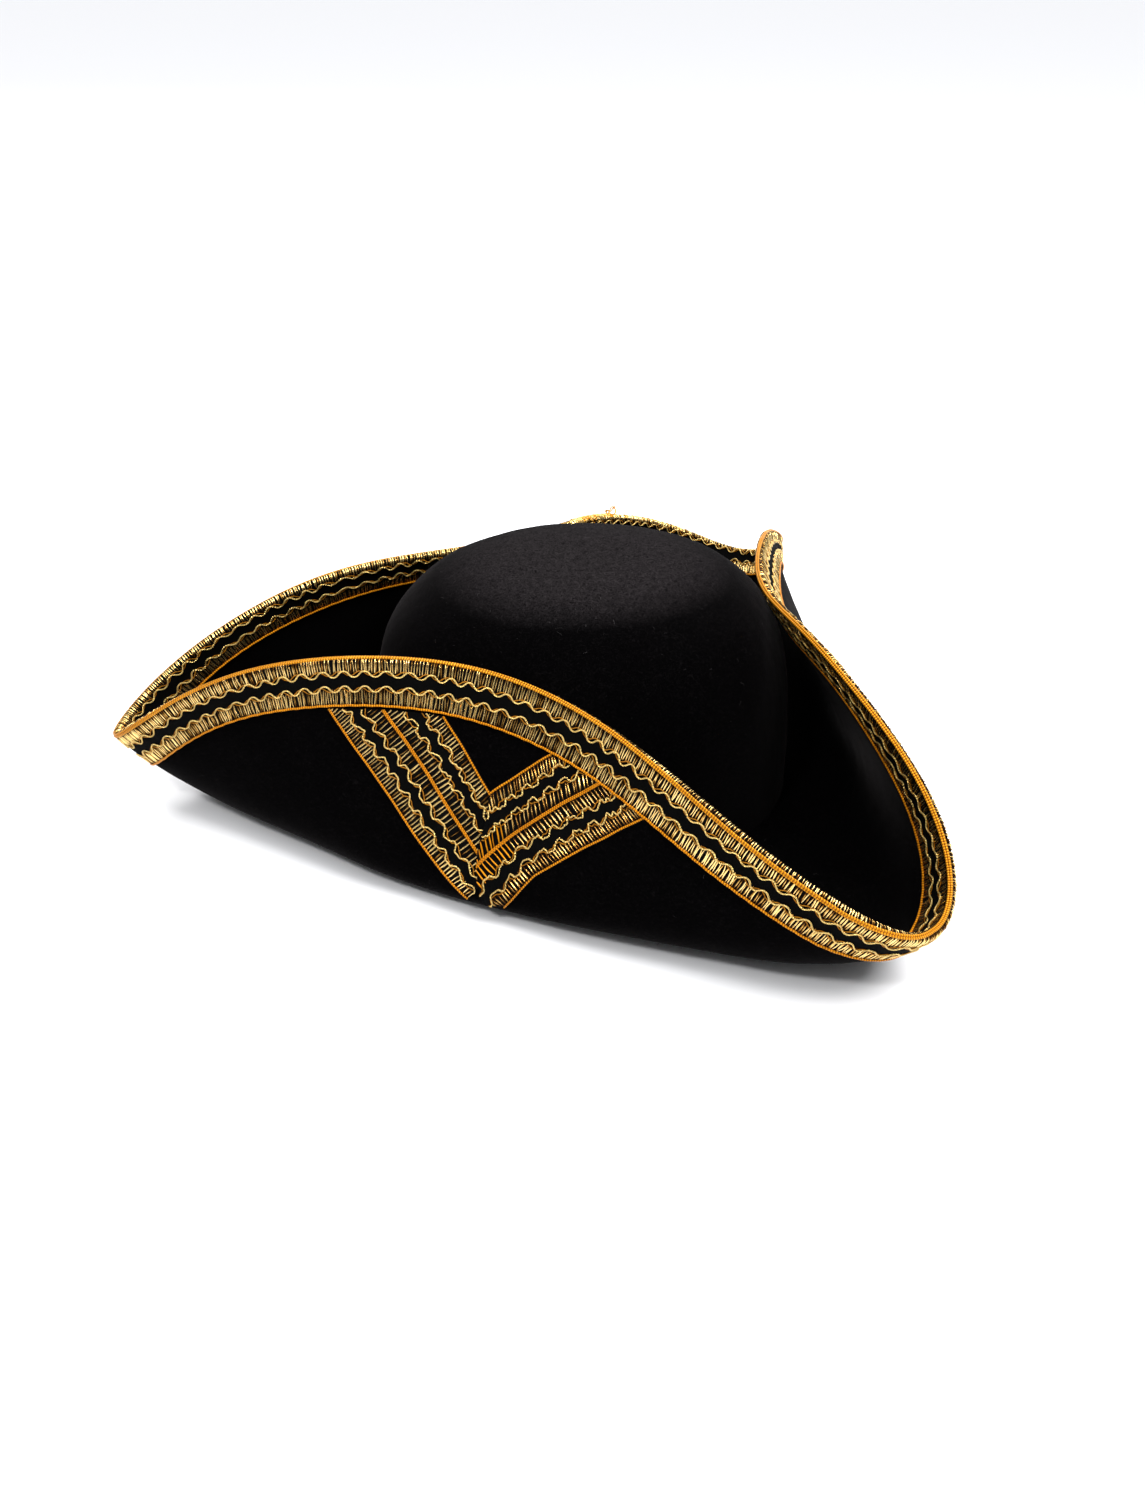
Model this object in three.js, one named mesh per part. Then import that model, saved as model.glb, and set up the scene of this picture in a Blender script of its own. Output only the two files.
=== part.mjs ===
// Tricorn hat: a black felt hood whose wide round brim is turned up on three sides, bound along its
// edge with a folded gold braid, with a V of the same braid sewn on the wearer's left flap.
// Millimetres, +Z up. The front corner points to -Y and the wearer's left is +X.
// The hat stands on the flat ring of brim around the head opening, at Z = 0.
import * as THREE from "three";
import { mergeVertices } from "three/addons/utils/BufferGeometryUtils.js";

// Head opening and crown, inside sizes
const headLength = 195;
const headWidth = 173;
const crownHeight = 116;
const crownSquareness = 3.75; // exponent of the dome's outline: 2 is an ellipse, more is squarer

// Felt
const feltThickness = 2.5;
const breakRadius = 1.5; // of the corner between the crown's wall and the brim, on the outside
const restRing = 6; // flat ring of brim around the head opening
const brimWidth = 127; // from the flat ring to the cut edge, measured along the felt
const foldReach = 0.42; // how far the flap's bottom runs out before it turns up, share of brimWidth

// Gold braid
const braidLeg = 21; // how far the folded braid reaches in from the brim's edge on each face
const chevronWidth = 39; // width of the braid laid flat in the V
const braidThickness = 1;
const foldRoundness = 0.8; // of the braid's fold along the edge: 1 is square
const sewingGap = 0.35; // between the felt and the folded braid
const chevronGap = 0.6; // between the felt and the V, whose facets don't follow the felt's
const buttGap = 0.8; // between the V's ends and the lower edge of the folded braid

// The V on the left flap, measured on the flat brim before it is turned up
const chevronMiddle = 60; // where the V's point lies around the crown, degrees from the front corner
const chevronDepth = 70; // from the brim's edge to the point of the V's centre line
const chevronFrontAngle = 56; // of the front arm from the line that runs straight out, degrees
const chevronRearAngle = 46; // of the rear arm
const flapStretch = 1.2; // how much longer the flap runs there than the flat brim did

// How the turned-up brim runs, from the front corner round to the middle of the back; the other side
// mirrors it. "around" is the place around the crown in degrees from the front corner. The edge of the
// brim there lies "out" from the flat ring, "along" it away from the front corner, and "up", all as
// shares of brimWidth. "lean" is how the flap's top leans outwards, in degrees, and "reach" how far down
// the flap that direction holds, another share of brimWidth.
const brimSections = [
  { around: 0, out: 0.9, along: 0, up: 0.31, lean: 38, reach: 0.38 },
  { around: 15, out: 0.7, along: -0.25, up: 0.47, lean: 10, reach: 0.41 },
  { around: 30, out: 0.32, along: -0.33, up: 0.68, lean: -10, reach: 0.42 },
  { around: 45, out: 0, along: -0.19, up: 0.77, lean: -22, reach: 0.42 },
  { around: 60, out: -0.12, along: 0.1, up: 0.75, lean: -26, reach: 0.42 },
  { around: 75, out: 0.15, along: 0.33, up: 0.68, lean: -25, reach: 0.42 },
  { around: 90, out: 0.51, along: 0.33, up: 0.56, lean: -12, reach: 0.42 },
  { around: 105, out: 0.81, along: 0.22, up: 0.4, lean: 9, reach: 0.38 },
  { around: 120, out: 0.92, along: 0.08, up: 0.29, lean: 32, reach: 0.32 },
  { around: 135, out: 0.76, along: -0.1, up: 0.43, lean: 9, reach: 0.38 },
  { around: 150, out: 0.38, along: -0.26, up: 0.65, lean: -20, reach: 0.42 },
  { around: 165, out: 0.01, along: -0.22, up: 0.77, lean: -30, reach: 0.42 },
  { around: 180, out: -0.16, along: 0, up: 0.78, lean: -33, reach: 0.42 },
];

// How finely the solids are divided
const stations = 96; // around the hat
const crowding = 0.2; // how much closer the stations lie at the three corners, 0 is even
const domeRings = 6;
const braidRings = 2; // across each half of the folded braid, and the felt under it
const flapShares = [1, 0.87, 0.78, 0.7, 0.62, 0.52, 0.38, 0.2, 0]; // between the flat ring and the braid
const chevronSteps = 10; // along each arm
const chevronRings = 12; // across the strip
const profileSteps = 48; // for measuring lengths along the felt

const radians = THREE.MathUtils.degToRad;
const outLength = headLength / 2;
const outWidth = headWidth / 2;
const innerBreak = breakRadius + feltThickness; // the same corner on the inside of the felt
const flatOuter = innerBreak + restRing;
const blankEdge = (outLength + outWidth) / 2 + flatOuter + brimWidth; // radius of the flat, round blank

const range = (count, from, to) =>
  Array.from({ length: count }, (_, i) => from + ((to - from) * i) / (count - 1));
const braidLengths = range(braidRings + 1, braidLeg, 0);
const angles = Array.from({ length: stations }, (_, i) => {
  const even = (2 * Math.PI * i) / stations;
  return even - (crowding / 3) * Math.sin(3 * even);
});

// Smooth closed curve through values that are evenly spaced around the hat
function blendAround(values, angle) {
  const count = values.length;
  let sum = 0;
  for (let k = 0; k < count; k++) {
    const x = angle - (2 * Math.PI * k) / count;
    const low = Math.sin(x / 2);
    const weight = Math.abs(low) < 1e-9 ? 1 : (Math.sin((count * x) / 2) * Math.cos(x / 2)) / (count * low);
    sum += values[k] * weight;
  }
  return sum;
}

// A column of the section table all the way round: mirrored, or mirrored and turned about
function columnAround(name, sign) {
  const half = brimSections.map((row) => row[name]);
  return [...half, ...half.slice(1, -1).reverse().map((value) => sign * value)];
}

const outColumn = columnAround("out", 1);
const alongColumn = columnAround("along", -1);
const upColumn = columnAround("up", 1);
const leanColumn = columnAround("lean", 1);
const reachColumn = columnAround("reach", 1);

// Head opening's outline, its outward normal and its direction, at an angle from the front corner
function headLine(angle) {
  const point = new THREE.Vector3(outWidth * Math.sin(angle), -outLength * Math.cos(angle), 0);
  const normal = new THREE.Vector3(Math.sin(angle) / outWidth, -Math.cos(angle) / outLength, 0).normalize();
  const along = new THREE.Vector3(-normal.y, normal.x, 0);
  return { point, normal, along };
}

// The edge of the brim
function edgePoint(angle) {
  const { point, normal, along } = headLine(angle);
  return point
    .addScaledVector(normal, flatOuter + brimWidth * blendAround(outColumn, angle))
    .addScaledVector(along, brimWidth * blendAround(alongColumn, angle))
    .setZ(brimWidth * blendAround(upColumn, angle));
}

// The way the felt points at its cut edge
function edgeDirection(angle) {
  const lean = radians(blendAround(leanColumn, angle));
  return headLine(angle).normal.multiplyScalar(Math.sin(lean)).setZ(Math.cos(lean));
}

// The turned-up felt at one place around the hat, on its under and outer face: from the flat ring to
// the edge, with the length along it
const profiles = new Map();
function brimProfile(angle) {
  const key = angle.toFixed(7);
  if (profiles.has(key)) return profiles.get(key);
  const { point, normal } = headLine(angle);
  const start = point.clone().addScaledVector(normal, flatOuter);
  const end = edgePoint(angle);
  const direction = edgeDirection(angle);
  const curve = new THREE.CubicBezierCurve3(
    start,
    start.clone().addScaledVector(normal, foldReach * brimWidth),
    end.clone().addScaledVector(direction, -brimWidth * blendAround(reachColumn, angle)),
    end,
  );
  curve.arcLengthDivisions = profileSteps;
  const profile = { curve, end, direction, length: curve.getLength() };
  profiles.set(key, profile);
  return profile;
}

// A point of the outer face at a length from the edge; less than 0 is past the edge
function outerFace(angle, fromEdge) {
  const { curve, end, direction, length } = brimProfile(angle);
  if (fromEdge <= 0) return end.clone().addScaledVector(direction, -fromEdge);
  return curve.getPointAt(THREE.MathUtils.clamp(1 - fromEdge / length, 0, 1));
}

// The way from the outer face through the felt to the inner face
function feltNormal(angle, fromEdge) {
  const turn = 2e-3;
  const step = 0.5;
  const from = Math.max(fromEdge, step);
  const across = outerFace(angle + turn, from).sub(outerFace(angle - turn, from));
  const inwards = outerFace(angle, from + step).sub(outerFace(angle, from - step));
  return across.cross(inwards).normalize();
}

// A point at a length from the edge and a lift from the outer face towards the crown
function feltPoint(angle, fromEdge, lift) {
  return outerFace(angle, fromEdge).addScaledVector(feltNormal(angle, fromEdge), lift);
}

// Dome: a point of its inner face, lifted outwards
function domePoint(angle, rise, lift) {
  const high = Math.sin(rise) ** (2 / crownSquareness);
  const wide = Math.cos(rise) ** (2 / crownSquareness);
  const { point, normal } = headLine(angle);
  const top = crownHeight - innerBreak;
  const side = Math.cos(rise) ** (2 - 2 / crownSquareness);
  const cap = Math.sin(rise) ** (2 - 2 / crownSquareness);
  const slope = normal
    .clone()
    .multiplyScalar(side / outWidth)
    .setZ(cap / top)
    .normalize();
  return point.multiplyScalar(wide).setZ(innerBreak + top * high).addScaledVector(slope, lift);
}

// The rounded break between the crown's wall and the flat ring
function breakPoint(angle, turn, lift) {
  const { point, normal } = headLine(angle);
  const radius = innerBreak - lift;
  return point
    .addScaledVector(normal, innerBreak - radius * Math.cos(turn))
    .setZ(innerBreak - radius * Math.sin(turn));
}

// Surface over a grid of points. "leftward" tells which way a cell is cut in two; cells with no area, as
// at a pole, are left out.
function skin(grid, wrapRows, wrapColumns, leftward = () => false) {
  const positions = [];
  const rowCount = grid.length;
  const columnCount = grid[0].length;
  const triangle = (a, b, c) => {
    const area = b.clone().sub(a).cross(c.clone().sub(a)).length();
    if (area > 1e-7) positions.push(...a.toArray(), ...b.toArray(), ...c.toArray());
  };
  for (let i = 0; i < (wrapRows ? rowCount : rowCount - 1); i++) {
    for (let j = 0; j < (wrapColumns ? columnCount : columnCount - 1); j++) {
      const k = (j + 1) % columnCount;
      const next = (i + 1) % rowCount;
      const [a, b, c, d] = [grid[i][j], grid[next][j], grid[next][k], grid[i][k]];
      if (leftward(i, j)) {
        triangle(a, b, d);
        triangle(b, c, d);
      } else {
        triangle(a, b, c);
        triangle(a, c, d);
      }
    }
  }
  return positions;
}

// Ring of cross-sections round the hat. "outwards" is, for each of a section's points, a number that
// grows towards the brim's edge. With it the cells are cut in two the same way on every face, and
// mirrored on the other side of the hat, so that the braid's facets lie along the felt's.
function ringSkin(sectionAt, outwards, closed) {
  const returning = outwards.map((here, j) => outwards[(j + 1) % outwards.length] < here);
  const otherSide = (i) => i >= stations / 2;
  return skin(angles.map(sectionAt), true, closed, (i, j) => returning[j] !== otherSide(i));
}

function meshOf(name, positions, material) {
  const soup = new THREE.BufferGeometry();
  soup.setAttribute("position", new THREE.Float32BufferAttribute(positions, 3));
  const geometry = mergeVertices(soup, 1e-4);
  geometry.computeVertexNormals();
  const mesh = new THREE.Mesh(geometry, material);
  mesh.name = name;
  return mesh;
}

// One piece of felt: dome, break, flat ring and turned-up brim
function feltHood() {
  const rises = range(domeRings + 1, Math.PI / 2, 0).slice(1, -1);
  const turns = range(3, 0, Math.PI / 2);
  const face = (angle, lift) => {
    const length = brimProfile(angle).length;
    const flap = flapShares.map((share) => braidLeg + share * (length - braidLeg));
    return [
      new THREE.Vector3(0, 0, crownHeight + lift),
      ...rises.map((rise) => domePoint(angle, rise, lift)),
      ...turns.map((turn) => breakPoint(angle, turn, lift)),
      ...[...flap, ...braidLengths.slice(1)].map((fromEdge) => feltPoint(angle, fromEdge, lift)),
    ];
  };
  const section = (angle) => [...face(angle, 0), ...face(angle, feltThickness).reverse()];
  const order = face(0, 0).map((point, k) => k);
  return ringSkin(section, [...order, ...[...order].reverse()], false);
}

// The braid folded in half over the brim's edge, all the way round
function foldedBraid() {
  const near = sewingGap;
  const far = sewingGap + braidThickness;
  const shoulder = foldRoundness * far;
  const up = braidLengths;
  const down = [...up].reverse();
  const clearOfEdge = (length) => (length === 0 ? -near : length);
  const section = [
    ...up.map((fromEdge) => ({ fromEdge, lift: -far })),
    { fromEdge: -shoulder, lift: -near },
    { fromEdge: -far, lift: feltThickness / 2 },
    { fromEdge: -shoulder, lift: feltThickness + near },
    ...down.map((fromEdge) => ({ fromEdge, lift: feltThickness + far })),
    ...up.map((fromEdge) => ({ fromEdge: clearOfEdge(fromEdge), lift: feltThickness + near })),
    ...down.map((fromEdge) => ({ fromEdge: clearOfEdge(fromEdge), lift: -near })),
  ];
  const outwards = section.map((place) => -place.fromEdge);
  const sectionAt = (angle) => section.map((place) => feltPoint(angle, place.fromEdge, place.lift));
  return ringSkin(sectionAt, outwards, true);
}

// A place on the flat brim, measured from the crown's centre: y straight out at the V's point, x along
// the edge. It becomes a place around the hat and a length from the edge.
function onBlank(x, y) {
  const round = x / flapStretch;
  return { angle: radians(chevronMiddle) + Math.atan2(round, y), fromEdge: blankEdge - Math.hypot(round, y) };
}

// How far a line on the flat brim runs, from a point in a direction, to the lower edge of the folded braid
function meetBraid(x, y, dx, dy) {
  const radius = blankEdge - braidLeg - buttGap;
  const [px, pdx] = [x / flapStretch, dx / flapStretch];
  const square = pdx * pdx + dy * dy;
  const middle = px * pdx + y * dy;
  return (-middle + Math.sqrt(middle * middle - square * (px * px + y * y - radius * radius))) / square;
}

// The V: two arms that meet in a mitre, whose upper ends butt against the edge braid
function chevron() {
  const frontArm = -radians(chevronFrontAngle);
  const rearArm = radians(chevronRearAngle);
  const bisector = (frontArm + rearArm) / 2;
  const halfMitre = chevronWidth / 2 / Math.sin((rearArm - frontArm) / 2);
  const sides = range(chevronRings + 1, 1, -1); // from the V's outer edge to its inner one
  const steps = range(chevronSteps + 1, 1, 0); // from an arm's upper end to the mitre
  const across = (arm, step) =>
    sides.map((side) => {
      const x = -side * halfMitre * Math.sin(bisector);
      const y = blankEdge - chevronDepth - side * halfMitre * Math.cos(bisector);
      const reach = step * meetBraid(x, y, Math.sin(arm), Math.cos(arm));
      return onBlank(x + reach * Math.sin(arm), y + reach * Math.cos(arm));
    });
  const strips = [
    ...steps.map((step) => across(frontArm, step)),
    ...steps.slice(0, -1).reverse().map((step) => across(rearArm, step)),
  ];
  const layer = (strip, lift) => strip.map(({ angle, fromEdge }) => feltPoint(angle, fromEdge, lift));
  const outer = strips.map((strip) => layer(strip, -chevronGap - braidThickness));
  const inner = strips.map((strip) => layer(strip, -chevronGap));
  const grid = outer.map((row, i) => [...row, ...[...inner[i]].reverse()]);
  return [
    ...skin(grid, false, true),
    ...skin([inner[0], outer[0]], false, false),
    ...skin([outer.at(-1), inner.at(-1)], false, false),
  ];
}

const felt = new THREE.MeshStandardMaterial({ color: 0x151416, roughness: 0.95, metalness: 0 });
const gold = new THREE.MeshStandardMaterial({ color: 0xc08a2c, roughness: 0.42, metalness: 0.7 });

const hat = new THREE.Group();
hat.name = "tricorn_hat";
hat.add(
  meshOf("felt_hood", feltHood(), felt),
  meshOf("edge_braid", foldedBraid(), gold),
  meshOf("chevron_braid", chevron(), gold),
);

// The part's frame has its origin under the middle of the hat, on the surface that it stands on
const bounds = new THREE.Box3().setFromObject(hat);
const centre = bounds.getCenter(new THREE.Vector3());
hat.children.forEach((piece) => piece.position.set(-centre.x, -centre.y, -bounds.min.z));

export default hat;
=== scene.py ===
# Tricorn hat: a black felt hood whose wide brim is turned up on three sides, gold lace braid folded over
# the brim's edge, and a V of the same braid on the wearer's left flap.
# Metres, +Z up. The front corner points to -Y and the wearer's left is +X. The hat stands on Z = 0.
import math

import bpy
import numpy as np
from bpy.props import FloatProperty, FloatVectorProperty, PointerProperty
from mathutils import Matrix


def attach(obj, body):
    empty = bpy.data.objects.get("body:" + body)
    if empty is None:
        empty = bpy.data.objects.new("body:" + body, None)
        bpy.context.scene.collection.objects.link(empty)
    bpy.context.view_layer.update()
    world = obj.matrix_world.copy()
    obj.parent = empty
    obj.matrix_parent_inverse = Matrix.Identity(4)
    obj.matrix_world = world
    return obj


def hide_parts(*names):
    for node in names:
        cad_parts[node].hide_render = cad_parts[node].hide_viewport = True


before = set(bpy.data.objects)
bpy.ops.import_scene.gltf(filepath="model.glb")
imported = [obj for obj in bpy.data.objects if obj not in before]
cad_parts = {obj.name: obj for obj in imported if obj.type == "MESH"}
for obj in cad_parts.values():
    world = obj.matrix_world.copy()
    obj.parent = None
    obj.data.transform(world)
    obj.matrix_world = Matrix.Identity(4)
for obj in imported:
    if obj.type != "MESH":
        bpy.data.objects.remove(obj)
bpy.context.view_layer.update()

bl_info = {
    "name": "Tricorn hat",
    "version": (1, 0, 0),
    "blender": (4, 5, 0),
    "location": "View3D > Sidebar > Hat",
    "description": "Builds a black felt tricorn hat edged with gold lace braid",
    "category": "Add Mesh",
}

MM = 0.001
TAU = 2 * math.pi
SEED = 17

# The crown's middle lies behind the middle of the hat's overall length
CROWN_MIDDLE = np.array([0.0, 45.25 * MM, 0.0])

# How the turned-up brim runs, from the front corner round to the middle of the back; the other side
# mirrors it. Each row holds the place around the crown in degrees from the front corner, where the
# brim's edge lies out from the flat ring, along it and up, how its top leans outwards in degrees, and
# how far down the flap that lean holds. Lengths are shares of the brim's width.
BRIM_SECTIONS = [
    {"around": 0, "out": 0.9, "along": 0, "up": 0.31, "lean": 38, "reach": 0.38},
    {"around": 15, "out": 0.7, "along": -0.25, "up": 0.47, "lean": 10, "reach": 0.41},
    {"around": 30, "out": 0.32, "along": -0.33, "up": 0.68, "lean": -10, "reach": 0.42},
    {"around": 45, "out": 0, "along": -0.19, "up": 0.77, "lean": -22, "reach": 0.42},
    {"around": 60, "out": -0.12, "along": 0.1, "up": 0.75, "lean": -26, "reach": 0.42},
    {"around": 75, "out": 0.15, "along": 0.33, "up": 0.68, "lean": -25, "reach": 0.42},
    {"around": 90, "out": 0.51, "along": 0.33, "up": 0.56, "lean": -12, "reach": 0.42},
    {"around": 105, "out": 0.81, "along": 0.22, "up": 0.4, "lean": 9, "reach": 0.38},
    {"around": 120, "out": 0.92, "along": 0.08, "up": 0.29, "lean": 32, "reach": 0.32},
    {"around": 135, "out": 0.76, "along": -0.1, "up": 0.43, "lean": 9, "reach": 0.38},
    {"around": 150, "out": 0.38, "along": -0.26, "up": 0.65, "lean": -20, "reach": 0.42},
    {"around": 165, "out": 0.01, "along": -0.22, "up": 0.77, "lean": -30, "reach": 0.42},
    {"around": 180, "out": -0.16, "along": 0, "up": 0.78, "lean": -33, "reach": 0.42},
]

# The tables that places on the brim are looked up in
TABLE_PLACES = 1440
TABLE_STEP = 1 * MM
TABLE_PAST_EDGE = 8 * MM
TABLE_LONGEST = 138 * MM
PROFILE_STEPS = 160
# From where to where lines square to the brim's edge are followed, as lengths from the edge
SQUARE_REACH = (-4 * MM, 26 * MM)

# Felt mesh. Its stations crowd towards the three corners by a share. The felt swells a little, in wide
# and in finer waves, and is calm near the floor.
FELT_STATIONS = 432
CORNER_CROWDING = 0.2
DOME_RINGS = 34
BREAK_RINGS = 5
FLAP_RINGS = 42
FELT_SWELL = 0.35 * MM
FELT_SWELL_LENGTH = 60 * MM
FINE_SWELL = 0.25 * FELT_SWELL
FINE_SWELL_LENGTH = FELT_SWELL_LENGTH / 5
CALM_HEIGHT = 20 * MM

# Raised fibres: their number, the share of the flaps' ones on the outer face, and their sizes
NAP_FIBRES = 15000
OUTER_FIBRES = 0.6
FIBRE_GROWTH = 0.35 * MM
FIBRE_LENGTHS = (0.4 * MM, 3 * MM)
FIBRE_HALF_WIDTH = 0.025 * MM
FIBRE_CLEARANCE = 0.2 * MM

# Braid pattern: how far each line lies from the braid's middle, on one half of it
EDGE_BANDS = {
    "middle_cord": 0.48 * MM,
    "inner_rungs": (0.9 * MM, 7.2 * MM),
    "inner_wave": 7.6 * MM,
    "outer_wave": 14.2 * MM,
    "outer_rungs": (14.3 * MM, 21.2 * MM),
    "border": 21.5 * MM,
}
V_BANDS = {
    "middle_cord": 0.33 * MM,
    "inner_rungs": (0.6 * MM, 6.5 * MM),
    "inner_wave": 6.8 * MM,
    "outer_wave": 12.4 * MM,
    "outer_rungs": (12.5 * MM, 18.4 * MM),
    "border": 18.7 * MM,
}
# How the braid is built up: its gap over the felt, the ground's margin past the border cord, and how high
# each strand lies on the ground
BRAID_GAP = 0.15 * MM
GROUND_MARGIN = 0.6 * MM
CORD_HEIGHT = 0.25 * MM
WAVE_HEIGHT = 0.45 * MM
THREAD_HEIGHT = 0.35 * MM
THREAD_RADIUS = 0.22 * MM
THREAD_SHIFT = 0.35 * MM
THREAD_PATH = {"step": 0.7 * MM, "swing": 0.75, "phase": 1.3}
# A strand's half tube goes on this far below its widest place, in radians, into the ground
STRAND_SKIRT = 0.35
# Tones of the strands, from dark to light
TONES = {"middle_cord": 0.3, "border": 0.06, "wave": 0.25, "thread": 0.1}
# Stations along the edge braid, its ripples from stitches, and how many of them there are
GROUND_STATIONS = 900
CORD_STATIONS = 2401
BORDER_RIPPLE = 0.08 * MM
BORDER_RIPPLES = 170
WAVE_RIPPLE = 0.12 * MM
WAVE_RIPPLES = 190
# Waves: how far they come early or late in radians, how their sizes differ, and how round they are
WAVE_STRAY = 0.28
WAVE_SIZES = (0.13, 0.1)
WAVE_ROUNDING = 0.3
# Metal bars: stations along and around one, its arch and its lift off the ground, how far a pair bows
# apart on each band, how unevenly bars lie, and the share of dark ones
RUNG_STATIONS = 6
RUNG_SIDES = 4
RUNG_ARCH = 0.42 * MM
RUNG_LIFT = 0.02 * MM
RUNG_LOOPS = {"inner_rungs": 0.12 * MM, "outer_rungs": 0.3 * MM}
RUNG_UNEVEN = 0.14
RUNG_STRAY = 0.06 * MM
DARK_RUNGS = 0.22
# Where the braid's middle lies from the fold, positive on the outer face, by the place around the crown
# in degrees from the front corner
FOLD_PLACES = [
    {"around": 0, "shift": 1.5 * MM},
    {"around": 40, "shift": 0.8 * MM},
    {"around": 70, "shift": 1.5 * MM},
    {"around": 88, "shift": 3 * MM},
    {"around": 103, "shift": 3.2 * MM},
    {"around": 118, "shift": -0.6 * MM},
    {"around": 140, "shift": -1.3 * MM},
    {"around": 160, "shift": -0.8 * MM},
    {"around": 180, "shift": 0 * MM},
    {"around": 220, "shift": 1.8 * MM},
    {"around": 240, "shift": 4.5 * MM},
    {"around": 260, "shift": 3 * MM},
    {"around": 330, "shift": 3 * MM},
    {"around": 360, "shift": 1.5 * MM},
]
FOLD_STRAY = 0.3 * MM
# The left rear corner sags and spreads a little: where, how far round, and by how much
CORNER_SAG_AROUND = math.radians(108)
CORNER_SAG_REACH = math.radians(17)
CORNER_SAG = np.array([1.5 * MM, 3.2 * MM, -0.7 * MM])
# The braid's two ends are joined on the right flap's edge: the runs of the join's two ends
JOIN_RUN = (934 * MM, 973 * MM)
# Threads wound over the join: their pitch, reach over the fold, slant, height and radius, and the share
# that is gold. The tuft has loose threads beside them.
JOIN_PITCH = 1.05 * MM
JOIN_REACH = (3.6 * MM, 5.2 * MM)
JOIN_SLANT = 1.6 * MM
JOIN_HEIGHT = 0.55 * MM
JOIN_RADIUS = 0.4 * MM
JOIN_GOLD = 0.65
TUFT_THREADS = 16
TUFT_LENGTHS = (3 * MM, 7 * MM)
TUFT_RADIUS = 0.24 * MM

# How the V's arms wander from straight lines: run from the mitre and shift towards the V's inside
FRONT_ARM_WANDER = [
    {"run": 0 * MM, "shift": -2.3 * MM},
    {"run": 20 * MM, "shift": -0.6 * MM},
    {"run": 38 * MM, "shift": 1.9 * MM},
    {"run": 56 * MM, "shift": 3 * MM},
    {"run": 80 * MM, "shift": 2.6 * MM},
    {"run": 100 * MM, "shift": 1.3 * MM},
]
REAR_ARM_WANDER = [
    {"run": -12 * MM, "shift": -11 * MM},
    {"run": -4 * MM, "shift": -6.5 * MM},
    {"run": 4 * MM, "shift": -4.2 * MM},
    {"run": 10 * MM, "shift": -2.2 * MM},
    {"run": 18 * MM, "shift": -0.5 * MM},
    {"run": 32 * MM, "shift": 1 * MM},
    {"run": 45 * MM, "shift": 1.6 * MM},
    {"run": 66 * MM, "shift": 0 * MM},
    {"run": 84 * MM, "shift": -4 * MM},
]
# The arms' cut ends: across and run, as shares of the arm's half width
FRONT_ARM_END = [
    {"across": -1, "run": -0.8},
    {"across": -0.6, "run": -0.74},
    {"across": -0.3, "run": -0.56},
    {"across": 0, "run": -0.3},
    {"across": 0.5, "run": 0.1},
    {"across": 1, "run": 0.56},
]
REAR_ARM_END = [
    {"across": -1, "run": -0.1},
    {"across": -0.75, "run": -0.36},
    {"across": -0.5, "run": -0.54},
    {"across": -0.25, "run": -0.4},
    {"across": 0, "run": -0.24},
    {"across": 0.3, "run": 0.03},
    {"across": 0.6, "run": 0.45},
    {"across": 1, "run": 0.76},
]
# The rear arm's lower side sags towards its tip: the sag's slope, how far it reaches along the arm, and
# the share of the half width at which it is greatest
REAR_ARM_SAG = 0.22
SAG_REACH = 18 * MM
SAG_WIDEST = 1.1
# How high the rear arm lies over the front one at the mitre, where it starts to come down and how gently
V_OVERLAP = 1.3 * MM
OVERLAP_START = 2 * MM
OVERLAP_SLOPE = 9 * MM
# How far the arms reach below the edge braid, how deep they are pressed down there and how gently
TUCK_REACH = 0.4 * MM
TUCK_DEPTH = 0.35 * MM
TUCK_SLOPE = 5 * MM
# Tables of the arms' wander: where they start, their step and the places that a blur takes in
WANDER_START = -30 * MM
WANDER_STEP = 1 * MM
WANDER_BLUR = 17
# How far along an arm its parts are worked out, before they are cut at the edge braid
V_LONGEST = 140 * MM
V_CORD_REACH = 120 * MM
V_CORD_STEP = 0.5 * MM
V_GROUND_REACH = 130 * MM
V_GROUND_STEP = 0.25 * MM
# The V's strands and bars against those of the edge braid, and how they are laid
V_STRAND_SHARE = 0.85
V_OUTER_PITCH = 0.8
V_RUNG_LOOPS = 0.1 * MM
V_RUNG_SLIM = 0.95
V_RUNG_UNEVEN = 0.1
REAR_RUNG_TILT = 0.3
FRONT_RUNG_TONE = 1.3
REAR_RUNG_TONE = 0.42
# The rear arm's inner rungs are worn to the colour of the cord from its tip up to here
WORN_TIP = 13 * MM
# A rung is looked at in so many places, and shows if the arm shows at the least number of them
CLIP_PLACES = 25
CLIP_LEAST = 5

# Woven ground: the pitch of its threads along and across. A metal bar is made of so many threads.
WARP_PITCH = 0.55 * MM
WEFT_PITCH = 0.7 * MM
BAR_THREADS = 3
# Wound cords: each one's material, colour, pitch and slant of its threads, finish, and how dark the painted
# shade in the grooves between its threads is
CORD_FINISHES = {
    "cord": {
        "material": "orange_cord",
        "colour": "orange",
        "pitch": 1.15 * MM,
        "slant": 0.2,
        "metallic": 0.6,
        "roughness": 0.36,
        "groove_shade_share": 0.95,
    },
    "wave": {
        "material": "pale_gold_cord",
        "colour": "pale_gold",
        "pitch": 1.1 * MM,
        "slant": 1.1,
        "metallic": 0.95,
        "roughness": 0.22,
        "groove_shade_share": 0.55,
    },
    "thread": {
        "material": "bronze_thread",
        "colour": "bronze",
        "pitch": 0.6 * MM,
        "slant": 1.0,
        "metallic": 0.9,
        "roughness": 0.32,
        "groove_shade_share": 0.5,
    },
}
# A cord's dark colour as shares of its own, used both for tarnish and for the painted shade in the grooves
# between its threads, and the colour that its light threads go towards
CORD_TARNISH_AND_SHADE = (0.3, 0.2, 0.12)
CORD_LIGHT = (1.0, 0.72, 0.08)

# Stage: the floor's half side and colour
FLOOR_REACH = 30.0
FLOOR_COLOUR = (0.82, 0.82, 0.83, 1)
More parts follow.
